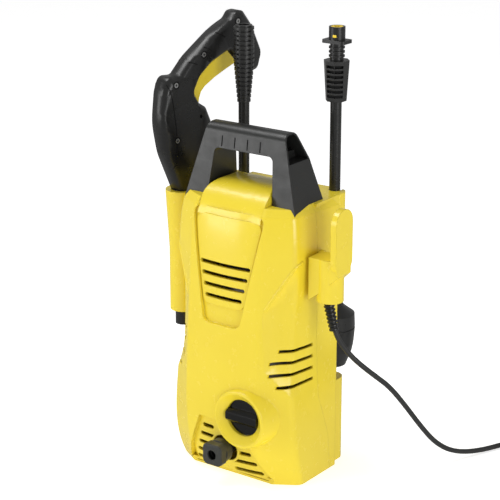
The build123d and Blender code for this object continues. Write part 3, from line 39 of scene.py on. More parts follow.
from enum import Enum
from typing import Sequence

import bmesh
import bpy
from mathutils import Euler, Matrix, Vector
from mathutils.bvhtree import BVHTree

LOG = logging.getLogger("washer")
MM = 0.001
MERGE = 1e-6
TONE_RANGE = (0.32, 0.68)
GLOSS_RANGE = (0.25, 0.75)
GLOSS_LEAST = 0.03
GLOSS_FINER = 5.0
COAT_ROUGHNESS = 0.12
GRAIN_SHARE = 0.6
EDGE_SAMPLES = 4
FLAT_ANGLE = 0.6
NORMAL_WEIGHT = 80
BEAD_SIDES = 8
Colour = tuple[float, float, float]
Point = tuple[float, float, float]


def metres(point: Sequence[float]) -> Vector:
    """A point in millimetres as a vector in metres."""
    return Vector(point) * MM


class Net:
    """A small hand for wiring one node tree."""

    def __init__(self, tree: bpy.types.NodeTree) -> None:
        """Keeps the tree and empties it."""
        self.tree = tree
        tree.nodes.clear()

    def add(self, kind: str, **values: object) -> bpy.types.Node:
        """Adds a node.

        Args:
            kind: the node's type name.
            values: sockets by name with _ for spaces, or the node's own settings.

        Returns:
            The new node.
        """
        node = self.tree.nodes.new(kind)
        for name, value in values.items():
            socket = node.inputs.get(name.replace("_", " "))
            if socket is None:
                setattr(node, name, value)
            else:
                socket.default_value = value
        return node

    def link(self, out: bpy.types.NodeSocket, into: bpy.types.NodeSocket) -> None:
        """Joins two sockets."""
        self.tree.links.new(out, into)

    def times(self, first: bpy.types.NodeSocket, factor: float) -> bpy.types.NodeSocket:
        """The product of a socket and a number, as a socket."""
        node = self.add("ShaderNodeMath", operation="MULTIPLY")
        self.link(first, node.inputs[0])
        node.inputs[1].default_value = factor
        return node.outputs["Value"]


class Grain(Enum):
    """How a surface was left by its tool: grain per metre and its depth in metres."""

    POLISHED = (900.0, 0.000004)
    SATIN = (1500.0, 0.000030)
    SPARKED = (2300.0, 0.000060)
    CAST = (1100.0, 0.000080)
    DRAWN = (2600.0, 0.000020)


@dataclass(frozen=True)
class Finish:
    """A finish: two close tones in broad clouds, a fine grain and an uneven gloss."""

    name: str
    colour: Colour
    shade: Colour
    roughness: float
    grain: Grain = Grain.SATIN
    metallic: float = 0.0
    coat: float = 0.0
    specular: float = 0.5
    cloud: float = 14.0
    stretch: Point = (1.0, 1.0, 1.0)
    spread: float = 0.08
    edge: float = 0.0005
    glow: float = 0.0

    def material(self) -> bpy.types.Material:
        """Builds the finish's material once and gives it back.

        Returns:
            The node material.
        """
        label = f"finish_{self.name}"
        known = bpy.data.materials.get(label)
        if known is not None:
            return known
        made = bpy.data.materials.new(label)
        made.use_nodes = True
        net = Net(made.node_tree)
        shader = net.add(
            "ShaderNodeBsdfPrincipled",
            Metallic=self.metallic,
            Specular_IOR_Level=self.specular,
            Coat_Weight=self.coat,
            Coat_Roughness=COAT_ROUGHNESS,
            Emission_Strength=self.glow,
        )
        out = net.add("ShaderNodeOutputMaterial")
        net.link(shader.outputs["BSDF"], out.inputs["Surface"])
        place = net.add("ShaderNodeTexCoord")
        turn = net.add("ShaderNodeMapping", Scale=self.stretch)
        net.link(place.outputs["Object"], turn.inputs["Vector"])
        self._tone(net, turn, shader)
        self._gloss(net, turn, shader)
        self._skin(net, turn, shader)
        made.diffuse_color = (*self.colour, 1.0)
        return made

    def _tone(self, net: Net, turn: bpy.types.Node, shader: bpy.types.Node) -> None:
        """Wires the colour: broad clouds between the two tones."""
        clouds = net.add("ShaderNodeTexNoise", Scale=self.cloud, Detail=4.0, Roughness=0.6)
        ramp = net.add("ShaderNodeValToRGB")
        for stop, place, tone in zip(ramp.color_ramp.elements, TONE_RANGE, (self.shade, self.colour)):
            stop.position = place
            stop.color = (*tone, 1.0)
        net.link(turn.outputs["Vector"], clouds.inputs["Vector"])
        net.link(clouds.outputs["Fac"], ramp.inputs["Fac"])
        net.link(ramp.outputs["Color"], shader.inputs["Base Color"])

    def _gloss(self, net: Net, turn: bpy.types.Node, shader: bpy.types.Node) -> None:
        """Wires the roughness: uneven by a small spread, as handled surfaces are."""
        patches = net.add("ShaderNodeTexNoise", Scale=self.cloud * GLOSS_FINER, Detail=5.0, Roughness=0.7)
        fit = net.add(
            "ShaderNodeMapRange",
            From_Min=GLOSS_RANGE[0],
            From_Max=GLOSS_RANGE[1],
            To_Min=max(GLOSS_LEAST, self.roughness - self.spread),
            To_Max=min(1.0, self.roughness + self.spread),
        )
        net.link(turn.outputs["Vector"], patches.inputs["Vector"])
        net.link(patches.outputs["Fac"], fit.inputs["Value"])
        net.link(fit.outputs["Result"], shader.inputs["Roughness"])

    def _skin(self, net: Net, turn: bpy.types.Node, shader: bpy.types.Node) -> None:
        """Wires the grain's bump over softly rounded edges."""
        scale, depth = self.grain.value
        grain = net.add("ShaderNodeTexNoise", Scale=scale, Detail=2.0, Roughness=0.55)
        bump = net.add("ShaderNodeBump", Strength=1.0, Distance=1.0)
        height = net.times(grain.outputs["Fac"], GRAIN_SHARE * depth)
        net.link(turn.outputs["Vector"], grain.inputs["Vector"])
        net.link(height, bump.inputs["Height"])
        if self.edge > 0.0:
            soft = net.add("ShaderNodeBevel", Radius=self.edge)
            soft.samples = EDGE_SAMPLES
            net.link(soft.outputs["Normal"], bump.inputs["Normal"])
        net.link(bump.outputs["Normal"], shader.inputs["Normal"])


YELLOW = Finish(
    "housing_yellow",
    (0.83, 0.650, 0.036),
    (0.81, 0.627, 0.033),
    0.26,
    Grain.POLISHED,
    coat=0.25,
    spread=0.03,
    edge=0.0016,
)
TRIGGER = Finish("trigger_yellow", (0.83, 0.64, 0.035), (0.80, 0.61, 0.03), 0.34)
RING = Finish("ring_yellow", (0.88, 0.63, 0.03), (0.84, 0.58, 0.025), 0.38)
BLACK = Finish("handle_black", (0.016, 0.0165, 0.0155), (0.020, 0.0205, 0.0195), 0.34, Grain.SPARKED)
GUN = Finish("gun_black", (0.0085, 0.0085, 0.0080), (0.012, 0.012, 0.0115), 0.30, Grain.SATIN)
LANCE = Finish("lance_black", (0.013, 0.013, 0.0125), (0.017, 0.017, 0.016), 0.32)
TUBE = Finish("tube_black", (0.014, 0.014, 0.0135), (0.018, 0.018, 0.017), 0.26, Grain.POLISHED)
KNOB = Finish(
    "knob_black", (0.0045, 0.0045, 0.004), (0.006, 0.006, 0.0055), 0.16, Grain.POLISHED, specular=0.4
)
GREY = Finish("sleeve_grey", (0.036, 0.037, 0.032), (0.044, 0.045, 0.040), 0.32)
# Near-black finish for painted shade: the beads, rings, crosses and plates that stand in for the shade in
# grooves, ticks, screw wells, cross recesses and grip pockets.
PAINTED_SHADE = Finish("seam_shadow", (0.003, 0.003, 0.003), (0.005, 0.005, 0.005), 0.6, specular=0.2)
RUBBER = Finish("lead_rubber", (0.020, 0.020, 0.0195), (0.027, 0.027, 0.026), 0.5, Grain.CAST, cloud=60.0)
STEEL = Finish("screw_steel", (0.62, 0.62, 0.60), (0.50, 0.50, 0.49), 0.3, Grain.DRAWN, 1.0, cloud=180.0)
ALLOY = Finish("pump_alloy", (0.56, 0.57, 0.58), (0.48, 0.49, 0.50), 0.46, Grain.CAST, 1.0, cloud=40.0)
MOTOR = Finish(
    "motor_steel", (0.40, 0.40, 0.41), (0.32, 0.32, 0.33), 0.4, Grain.DRAWN, 1.0, stretch=(1, 1, 12)
)
COPPER = Finish("copper", (0.72, 0.34, 0.18), (0.60, 0.26, 0.13), 0.34, Grain.DRAWN, 1.0, cloud=90.0)
CARBON = Finish("carbon", (0.05, 0.05, 0.052), (0.035, 0.035, 0.037), 0.7, Grain.CAST, cloud=200.0)
INNER = Finish("inner_plastic", (0.20, 0.20, 0.20), (0.16, 0.16, 0.16), 0.5, Grain.SPARKED)
STRAINER = Finish("strainer", (0.70, 0.71, 0.70), (0.62, 0.63, 0.62), 0.4, cloud=80.0)
BRASS = Finish("pin_brass", (0.76, 0.58, 0.27), (0.66, 0.49, 0.21), 0.24, Grain.DRAWN, 1.0, cloud=150.0)
FLOOR = Finish("studio_floor", (0.95, 0.95, 0.95), (0.93, 0.93, 0.93), 0.8, edge=0.0, glow=0.62)


def dress(finish: Finish, *nodes: str) -> None:
    """Gives CAD nodes a finish.

    Args:
        finish: the finish they get.
        nodes: the nodes' names.
    """
    for name in nodes:
        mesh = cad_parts[name].data
        mesh.materials.clear()
        mesh.materials.append(finish.material())
        LOG.info("%s: %s", name, finish.name)


def piece_from(mesh: bpy.types.Mesh, name: str, body: str) -> bpy.types.Object:
    """Makes a mesh a piece of the object.

    Args:
        mesh: the finished mesh, in metres, in place.
        name: the piece's name.
        body: the CAD body it rides on.

    Returns:
        The piece.
    """
    mesh.name = name
    piece = bpy.data.objects.new(name, mesh)
    bpy.context.collection.objects.link(piece)
    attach(piece, body)
    LOG.info("%s: rides on %s", name, body)
    return piece


def merged_copy(node: str) -> bmesh.types.BMesh:
    """A merged working copy of a CAD node's mesh."""
    work = bmesh.new()
    work.from_mesh(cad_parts[node].data)
    bmesh.ops.remove_doubles(work, verts=work.verts, dist=MERGE)
    return work


def rounded_skin(node: str, body: str, finish: Finish, angle: float = 62.0) -> bpy.types.Object:
    """Replaces a CAD node by its own form with shading that rolls over its bevels.

    Args:
        node: the CAD node.
        body: the body it rides on.
        finish: its finish.
        angle: edges up to this many degrees are shaded round.

    Returns:
        The piece that stands for the node.
    """
    return shaded_skin(merged_copy(node), node, body, finish, angle)


def shaded_skin(
    work: bmesh.types.BMesh, node: str, body: str, finish: Finish, angle: float
) -> bpy.types.Object:
    """Makes a worked copy of a CAD node the piece that stands for it.

    Args:
        work: the worked copy; it is freed.
        node: the CAD node.
        body: the body it rides on.
        finish: its finish.
        angle: edges up to this many degrees are shaded round.

    Returns:
        The piece that stands for the node.
    """
    limit = math.radians(angle)
    for face in work.faces:
        face.smooth = True
    for edge in work.edges:
        edge.smooth = len(edge.link_faces) == 2 and edge.calc_face_angle(0.0) < limit
    mesh = bpy.data.meshes.new(f"{node}_form")
    work.to_mesh(mesh)
    work.free()
    mesh.materials.append(finish.material())
    holder = bpy.data.objects.new(f"{node}_work", mesh)
    bpy.context.collection.objects.link(holder)
    weigh = holder.modifiers.new("weigh", "WEIGHTED_NORMAL")
    weigh.keep_sharp = True
    weigh.weight = NORMAL_WEIGHT
    piece = piece_from(baked(holder), f"{node}_skin", body)
    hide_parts(node)
    return piece


def bevelled_skin(
    node: str, body: str, finish: Finish, width: float, angle: float = 28.0
) -> bpy.types.Object:
    """Replaces a CAD node by its own form with its sharp edges rounded off.

    Args:
        node: the CAD node.
        body: the body it rides on.
        finish: its finish.
        width: the rounding's width in metres.
        angle: edges sharper than this many degrees are rounded.

    Returns:
        The piece that stands for the node.
    """
    work = merged_copy(node)
    bmesh.ops.dissolve_limit(
        work, angle_limit=math.radians(FLAT_ANGLE), verts=work.verts, edges=work.edges
    )
    for face in work.faces:
        face.smooth = True
    mesh = bpy.data.meshes.new(f"{node}_form")
    work.to_mesh(mesh)
    work.free()
    mesh.materials.append(finish.material())
    holder = bpy.data.objects.new(f"{node}_work", mesh)
    bpy.context.collection.objects.link(holder)
    bevel = holder.modifiers.new("rounding", "BEVEL")
    bevel.width = width
    bevel.segments = 2
    bevel.limit_method = "ANGLE"
    bevel.angle_limit = math.radians(angle)
    bevel.miter_outer = "MITER_ARC"
    bevel.use_clamp_overlap = True
    weigh = holder.modifiers.new("weigh", "WEIGHTED_NORMAL")
    weigh.weight = NORMAL_WEIGHT
    piece = piece_from(baked(holder), f"{node}_skin", body)
    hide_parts(node)
    return piece


def ring_model(outer: float, inner: float, height: float, sides: int = 20) -> bpy.types.Mesh:
    """A flat ring about its own origin, its axis up, in metres.

    Args:
        outer: the outer radius.
        inner: the inner radius.
        height: how high it stands.
        sides: how many sides it has.

    Returns:
        The ring.
    """
    points: list[tuple[float, float, float]] = []
    for step in range(sides):
        angle = math.tau * step / sides
        cos, sin = math.cos(angle), math.sin(angle)
        middle = (outer + inner) / 2
        for reach, rise in ((outer, 0.0), (outer, height * 0.7), (middle, height), (inner, 0.0)):
            points.append((reach * cos, reach * sin, rise))
    faces = []
    for step in range(sides):
        here, there = 4 * step, 4 * ((step + 1) % sides)
        faces += [(here + k, there + k, there + (k + 1) % 4, here + (k + 1) % 4) for k in range(4)]
    mesh = bpy.data.meshes.new("ring_model")
    mesh.from_pydata(points, [], faces)
    return mesh


def cross_model(reach: float, width: float, height: float) -> bpy.types.Mesh:
    """A near-black cross, painted shade of a screw head's cross recess; its axis up, in metres.

    Args:
        reach: the length of each arm.
        width: the width of each arm.
        height: how high it stands.

    Returns:
        The cross.
    """
    half = width / 2
    rim = [(half, half), (half, reach), (-half, reach), (-half, half), (-reach, half), (-reach, -half)]
    rim += [(-x, -y) for x, y in rim]
    count = len(rim)
    points = [(x, y, 0.0) for x, y in rim] + [(x, y, height) for x, y in rim]
    faces: list[tuple[int, ...]] = [tuple(range(count, 2 * count)), tuple(reversed(range(count)))]
    faces += [(k, (k + 1) % count, count + (k + 1) % count, count + k) for k in range(count)]
    mesh = bpy.data.meshes.new("cross_model")
    mesh.from_pydata(points, [], faces)
    return mesh


def baked(holder: bpy.types.Object) -> bpy.types.Mesh:
    """The holder's evaluated mesh as a plain mesh; the holder goes.

    Args:
        holder: an object with live modifiers.

    Returns:
        The plain mesh.
    """
    graph = bpy.context.evaluated_depsgraph_get()
    mesh = bpy.data.meshes.new_from_object(holder.evaluated_get(graph), depsgraph=graph)
    bpy.data.objects.remove(holder)
    return mesh


class Tree:
    """A Geometry Nodes tree with named inputs, used by one modifier and then baked."""

    def __init__(self, name: str) -> None:
        """Starts an empty tree with a geometry in and out."""
        self.group = bpy.data.node_groups.new(name, "GeometryNodeTree")
        self.group.interface.new_socket("Geometry", in_out="INPUT", socket_type="NodeSocketGeometry")
        self.group.interface.new_socket("Geometry", in_out="OUTPUT", socket_type="NodeSocketGeometry")
        self.values: dict[str, object] = {}
        self.entry = self.group.nodes.new("NodeGroupInput")

    def size(self, name: str, kind: str, value: object) -> bpy.types.NodeSocket:
        """Adds a named input.

        Args:
            name: the input's name.
            kind: Float, Int, Vector, Object or Material.
            value: its value.

        Returns:
            The socket inside the tree.
        """
        made = self.group.interface.new_socket(name, in_out="INPUT", socket_type=f"NodeSocket{kind}")
        self.values[made.identifier] = value
        return self.entry.outputs[name]

    def add(self, kind: str, **links: object) -> bpy.types.Node:
        """Adds a node and feeds its inputs with sockets or values."""
        node = self.group.nodes.new(kind)
        for name, value in links.items():
            self.feed(node, name.replace("_", " "), value)
        return node

    def feed(self, node: bpy.types.Node, name: str, value: object) -> None:
        """Feeds one input that is in use with a socket or a value."""
        socket = next(entry for entry in node.inputs if entry.name == name and entry.enabled)
        if isinstance(value, bpy.types.NodeSocket):
            self.group.links.new(value, socket)
        else:
            socket.default_value = value

    def bake(self, finish: Finish, points: bpy.types.Mesh, last: bpy.types.NodeSocket) -> bpy.types.Mesh:
        """Closes the tree, runs it once over some points or lines and gives back a plain mesh.

        Args:
            finish: the finish of all that it makes.
            points: the mesh that the tree starts from.
            last: the socket that carries the made geometry.

        Returns:
            The plain mesh.
        """
        paint = self.size("Finish", "Material", finish.material())
        real = self.add("GeometryNodeRealizeInstances", Geometry=last)
        set_on = self.add("GeometryNodeSetMaterial", Geometry=real.outputs["Geometry"], Material=paint)
        way_out = self.group.nodes.new("NodeGroupOutput")
        self.group.links.new(set_on.outputs["Geometry"], way_out.inputs["Geometry"])
        holder = bpy.data.objects.new("repeat_work", points)
        bpy.context.collection.objects.link(holder)
        modifier = holder.modifiers.new("repeat", "NODES")
        modifier.node_group = self.group
        for identifier, value in self.values.items():
            modifier[identifier] = value
        return baked(holder)


def point_mesh(places: Sequence[tuple[Vector, Euler]]) -> bpy.types.Mesh:
    """A mesh of loose points, in metres, each with its turn."""
    mesh = bpy.data.meshes.new("points")
    mesh.from_pydata([tuple(point) for point, _ in places], [], [])
    turns = mesh.attributes.new("turn", "FLOAT_VECTOR", "POINT")
    for slot, (_, turn) in zip(turns.data, places):
        slot.vector = tuple(turn)
    return mesh


def line_mesh(lines: Sequence[Sequence[Vector]]) -> bpy.types.Mesh:
    """A mesh of open lines, in metres."""
    points: list[tuple[float, ...]] = []
    edges: list[tuple[int, int]] = []
    for line in lines:
        start = len(points)
        points.extend(tuple(point) for point in line)
        edges.extend((start + step, start + step + 1) for step in range(len(line) - 1))
    mesh = bpy.data.meshes.new("lines")
    mesh.from_pydata(points, edges, [])
    return mesh


def beads(lines: Sequence[Sequence[Vector]], radius: float, finish: Finish) -> bpy.types.Mesh:
    """Round beads of one thickness along lines that lie on a surface.

    Args:
        lines: the lines, in metres.
        radius: the bead's radius in metres.
        finish: its finish.

    Returns:
        The beads as one mesh.
    """
    tree = Tree("beads")
    thick = tree.size("Radius", "Float", radius)
    round_line = tree.add("GeometryNodeCurvePrimitiveCircle", Resolution=BEAD_SIDES, Radius=thick)
    path = tree.add("GeometryNodeMeshToCurve", Mesh=tree.entry.outputs["Geometry"])
    tube = tree.add(
        "GeometryNodeCurveToMesh",
        Curve=path.outputs["Curve"],
        Profile_Curve=round_line.outputs["Curve"],
        Fill_Caps=True,
    )
    return tree.bake(finish, line_mesh(lines), tube.outputs["Mesh"])


def copies(
    model: bpy.types.Mesh, places: Sequence[tuple[Vector, Euler]], finish: Finish, size: float = 1.0
) -> bpy.types.Mesh:
    """Copies of one small model at several places.

    Args:
        model: the small model, about its own origin, in metres.
        places: where its origin goes, and how the copy is turned.
        finish: the finish of all copies.
        size: a scale for all copies.

    Returns:
        All copies as one mesh.
    """
    sample = bpy.data.objects.new("sample_work", model)
    bpy.context.collection.objects.link(sample)
    tree = Tree("copies")
    shape = tree.add("GeometryNodeObjectInfo", Object=tree.size("Model", "Object", sample))
    turns = tree.group.nodes.new("GeometryNodeInputNamedAttribute")
    turns.data_type = "FLOAT_VECTOR"
    turns.inputs["Name"].default_value = "turn"
    on = tree.add(
        "GeometryNodeInstanceOnPoints",
        Points=tree.entry.outputs["Geometry"],
        Instance=shape.outputs["Geometry"],
        Rotation=turns.outputs["Attribute"],
        Scale=tree.size("Size", "Float", size),
    )
    made = tree.bake(finish, point_mesh(places), on.outputs["Instances"])
    bpy.data.objects.remove(sample)
    return made


def plate_model(width: float, height: float, thick: float, corner: float) -> bpy.types.Mesh:
    """A thin plate with cut corners and a softened rim, facing -Y about its own origin, in metres.

    Args:
        width: its width along X.
        height: its height along Z.
        thick: how far it stands out towards -Y.
        corner: how much of each corner is cut off.

    Returns:
        The plate.
    """
    half, tall = width / 2, height / 2
    rim = [(half, tall - corner), (half - corner, tall), (corner - half, tall), (-half, tall - corner)]
    rim += [(-x, -z) for x, z in rim]
    count = len(rim)
    ease = 1.0 - min(0.4, thick / half)
    points = [(x, 0.0, z) for x, z in rim] + [(x, -0.6 * thick, z) for x, z in rim]
    points += [(x * ease, -thick, z * ease) for x, z in rim]
    faces: list[tuple[int, ...]] = [tuple(reversed(range(count))), tuple(range(2 * count, 3 * count))]
    for row in (0, count):
        for here in range(count):
            there = (here + 1) % count
            faces.append((row + here, row + there, row + count + there, row + count + here))
    mesh = bpy.data.meshes.new("plate_model")
    mesh.from_pydata(points, [], faces)
    work = bmesh.new()
    work.from_mesh(mesh)
    bmesh.ops.recalc_face_normals(work, faces=work.faces)
    work.to_mesh(mesh)
    work.free()
    return mesh


def surface_of(piece: bpy.types.Object) -> BVHTree:
    """The surface of a piece, to lay lines on."""
    work = bmesh.new()
    work.from_mesh(piece.data)
    tree = BVHTree.FromBMesh(work)
    work.free()
    return tree


@dataclass
class Studio:
    """The camera at the photograph's angle, a pale floor and soft light."""

    azimuth: float = 36.0
    elevation: float = 18.0
    distance: float = 2.1732
    aim: Point = (-0.0404, 0.0380, 0.2645)
    lens: float = 122.4
    floor_half: float = 25.0
    room_light: float = 0.36
    box_size: float = 1.0
    boxes: tuple[tuple[str, Point, Point, float], ...] = (
        ("top_box", (-0.5, -0.3, 2.0), (0.0, 0.0, 0.2), 19.0),
        ("left_box", (-1.35, -1.75, 0.60), (-0.05, 0.0, 0.3), 12.0),
        ("right_box", (2.0, -0.55, 0.60), (0.05, 0.0, 0.25), 13.0),
    )

    def build(self) -> None:
        """Sets the camera, the floor and the lights."""
        self._camera()
        self._floor()
        self._lights()

    def _camera(self) -> None:
        """Makes the camera and hands it to the scene."""
        turn, rise = math.radians(self.azimuth), math.radians(self.elevation)
        right = Vector((math.cos(turn), math.sin(turn), 0.0))
        back = Vector((math.sin(turn) * math.cos(rise), -math.cos(turn) * math.cos(rise), math.sin(rise)))
        up = back.cross(right)
        data = bpy.data.cameras.new("camera")
        data.lens = self.lens
        data.sensor_width = 36.0
        data.clip_end = 60.0
        camera = bpy.data.objects.new("camera", data)
        camera.matrix_world = Matrix.Translation(Vector(self.aim) + back * self.distance) @ Matrix(
            (right, up, back)
        ).transposed().to_4x4()
        bpy.context.collection.objects.link(camera)
        bpy.context.scene.camera = camera

    def _floor(self) -> None:
        """Lays the floor."""
        half = self.floor_half
        mesh = bpy.data.meshes.new("floor")
        corners = [(-half, -half, 0), (half, -half, 0), (half, half, 0), (-half, half, 0)]
        mesh.from_pydata(corners, [], [(0, 1, 2, 3)])
        mesh.materials.append(FLOOR.material())
        floor = bpy.data.objects.new("floor", mesh)
        bpy.context.collection.objects.link(floor)
        floor.visible_glossy = False

    def _lights(self) -> None:
        """Hangs the soft boxes and lights the room."""
        for box in self.boxes:
            self._box(*box)
        world = bpy.data.worlds.new("room")
        world.use_nodes = True
        net = Net(world.node_tree)
        sky = net.add("ShaderNodeBackground", Color=(1.0, 1.0, 1.0, 1.0), Strength=self.room_light)
        out = net.add("ShaderNodeOutputWorld")
        net.link(sky.outputs["Background"], out.inputs["Surface"])
        bpy.context.scene.world = world
        bpy.context.scene.view_settings.view_transform = "Standard"

    def _box(self, name: str, place: Point, target: Point, power: float) -> None:
        """Hangs one soft box.

        Args:
            name: the light's name.
            place: where it hangs, in metres.
            target: the point it faces.
            power: its power in watts.
        """
        data = bpy.data.lights.new(name, "AREA")
        data.size = self.box_size
        data.energy = power
        light = bpy.data.objects.new(name, data)
        light.location = place
        way = Vector(target) - Vector(place)
        light.rotation_euler = way.to_track_quat("-Z", "Y").to_euler()
        bpy.context.collection.objects.link(light)


@dataclass
class MainsLead:
    """The rubber lead from its boot down to the floor, its put-away coil and its plug, in millimetres."""

    radius: float = 3.25
    free: tuple[Point, ...] = (
        (118.53, -14.95, 228.72),
        (126.57, -16.55, 201.95),
        (145.5, -14.0, 181.0),
        (158.0, -4.0, 165.5),
        (167.5, 13.0, 148.5),
        (176.0, 33.0, 130.0),
        (181.0, 64.0, 95.0),
        (189.0, 88.0, 62.0),
        (198.0, 112.0, 32.0),
        (209.0, 140.0, 12.0),
        (226.0, 176.0, 4.0),
    )
    middle: tuple[float, float] = (320.0, 240.0)
    inner: float = 26.0
    pitch: float = 7.0
    layer: float = 7.0
    layers: int = 4
    turns: float = 4.25
    start: float = 152.0
    rest: float = 4.75
    per_turn: int = 16
    lead_run: float = 46.0
    tail_run: float = 42.0
    tail_seat: float = 16.0
    plug_height: float = 18.8
    length: float = 4.84

    def build(self) -> None:
        dress(RUBBER, "power_cord", "cord_coil")
        dress(GUN, "cord_boot")
        dress(LANCE, "plug_body")
        dress(BRASS, "plug_pins")
        dress(GREY, "coil_tie")
        lead = self._curve()
        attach(lead, "machine")
        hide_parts("power_cord", "cord_coil")
        LOG.info("mains_lead: %.2f m", self.length)

    def _turn_point(self, step: float) -> Vector:
        """A point of the coil after a number of turns, in and back out in each pair of layers."""
        done = min(int(step / self.turns), self.layers - 1)
        part = step - done * self.turns
        rung = self.turns - part if done % 2 == 0 else part
        reach = self.inner + self.pitch * rung
        angle = math.radians(self.start - 360.0 * step)
        height = self.rest
        for climb in range(1, self.layers):
            share = min(1.0, max(0.0, (step - climb * self.turns) / 0.5 + 0.5))
            height += self.layer * share * share * (3.0 - 2.0 * share)
        return Vector((
            self.middle[0] + reach * math.cos(angle),
            self.middle[1] + reach * math.sin(angle),
            height,
        ))

    def _way(self, step: float) -> Vector:
        """The level direction of the coil at a number of turns."""
        near = 0.001
        way = self._turn_point(step + near) - self._turn_point(step - near if step > near else 0.0)
        way.z = 0.0
        return way.normalized()

    def _route(self) -> list[Vector]:
        """The lead's control points in millimetres: free run, coil and tail."""
        whole = self.turns * self.layers
        first = self._turn_point(0.0)
        points = [Vector(point) for point in self.free]
        points.append(first - self._way(0.0) * self.lead_run)
        count = round(whole * self.per_turn)
        points.extend(self._turn_point(whole * index / count) for index in range(count + 1))
        way = self._way(whole - 0.001)
        last = self._turn_point(whole)
        flat = Vector((last.x, last.y, self.plug_height)) + way * self.tail_run
        points.append(flat)
        points.append(flat + way * self.tail_seat)
        return points

    def _curve(self) -> bpy.types.Object:
        """The lead as a round bevelled curve through its control points.

        Returns:
            The curve object.
        """
        data = bpy.data.curves.new("mains_lead", "CURVE")
        data.dimensions = "3D"
        data.bevel_depth = self.radius * MM
        data.bevel_resolution = 3
        data.resolution_u = 5
        data.use_fill_caps = True
        spline = data.splines.new("NURBS")
        route = self._route()
        spline.points.add(len(route) - 1)
        for slot, point in zip(spline.points, route):
            slot.co = (*(point * MM), 1.0)
        spline.order_u = 3
        spline.use_endpoint_u = True
        data.materials.append(RUBBER.material())
        lead = bpy.data.objects.new("mains_lead", data)
        bpy.context.collection.objects.link(lead)
        return lead


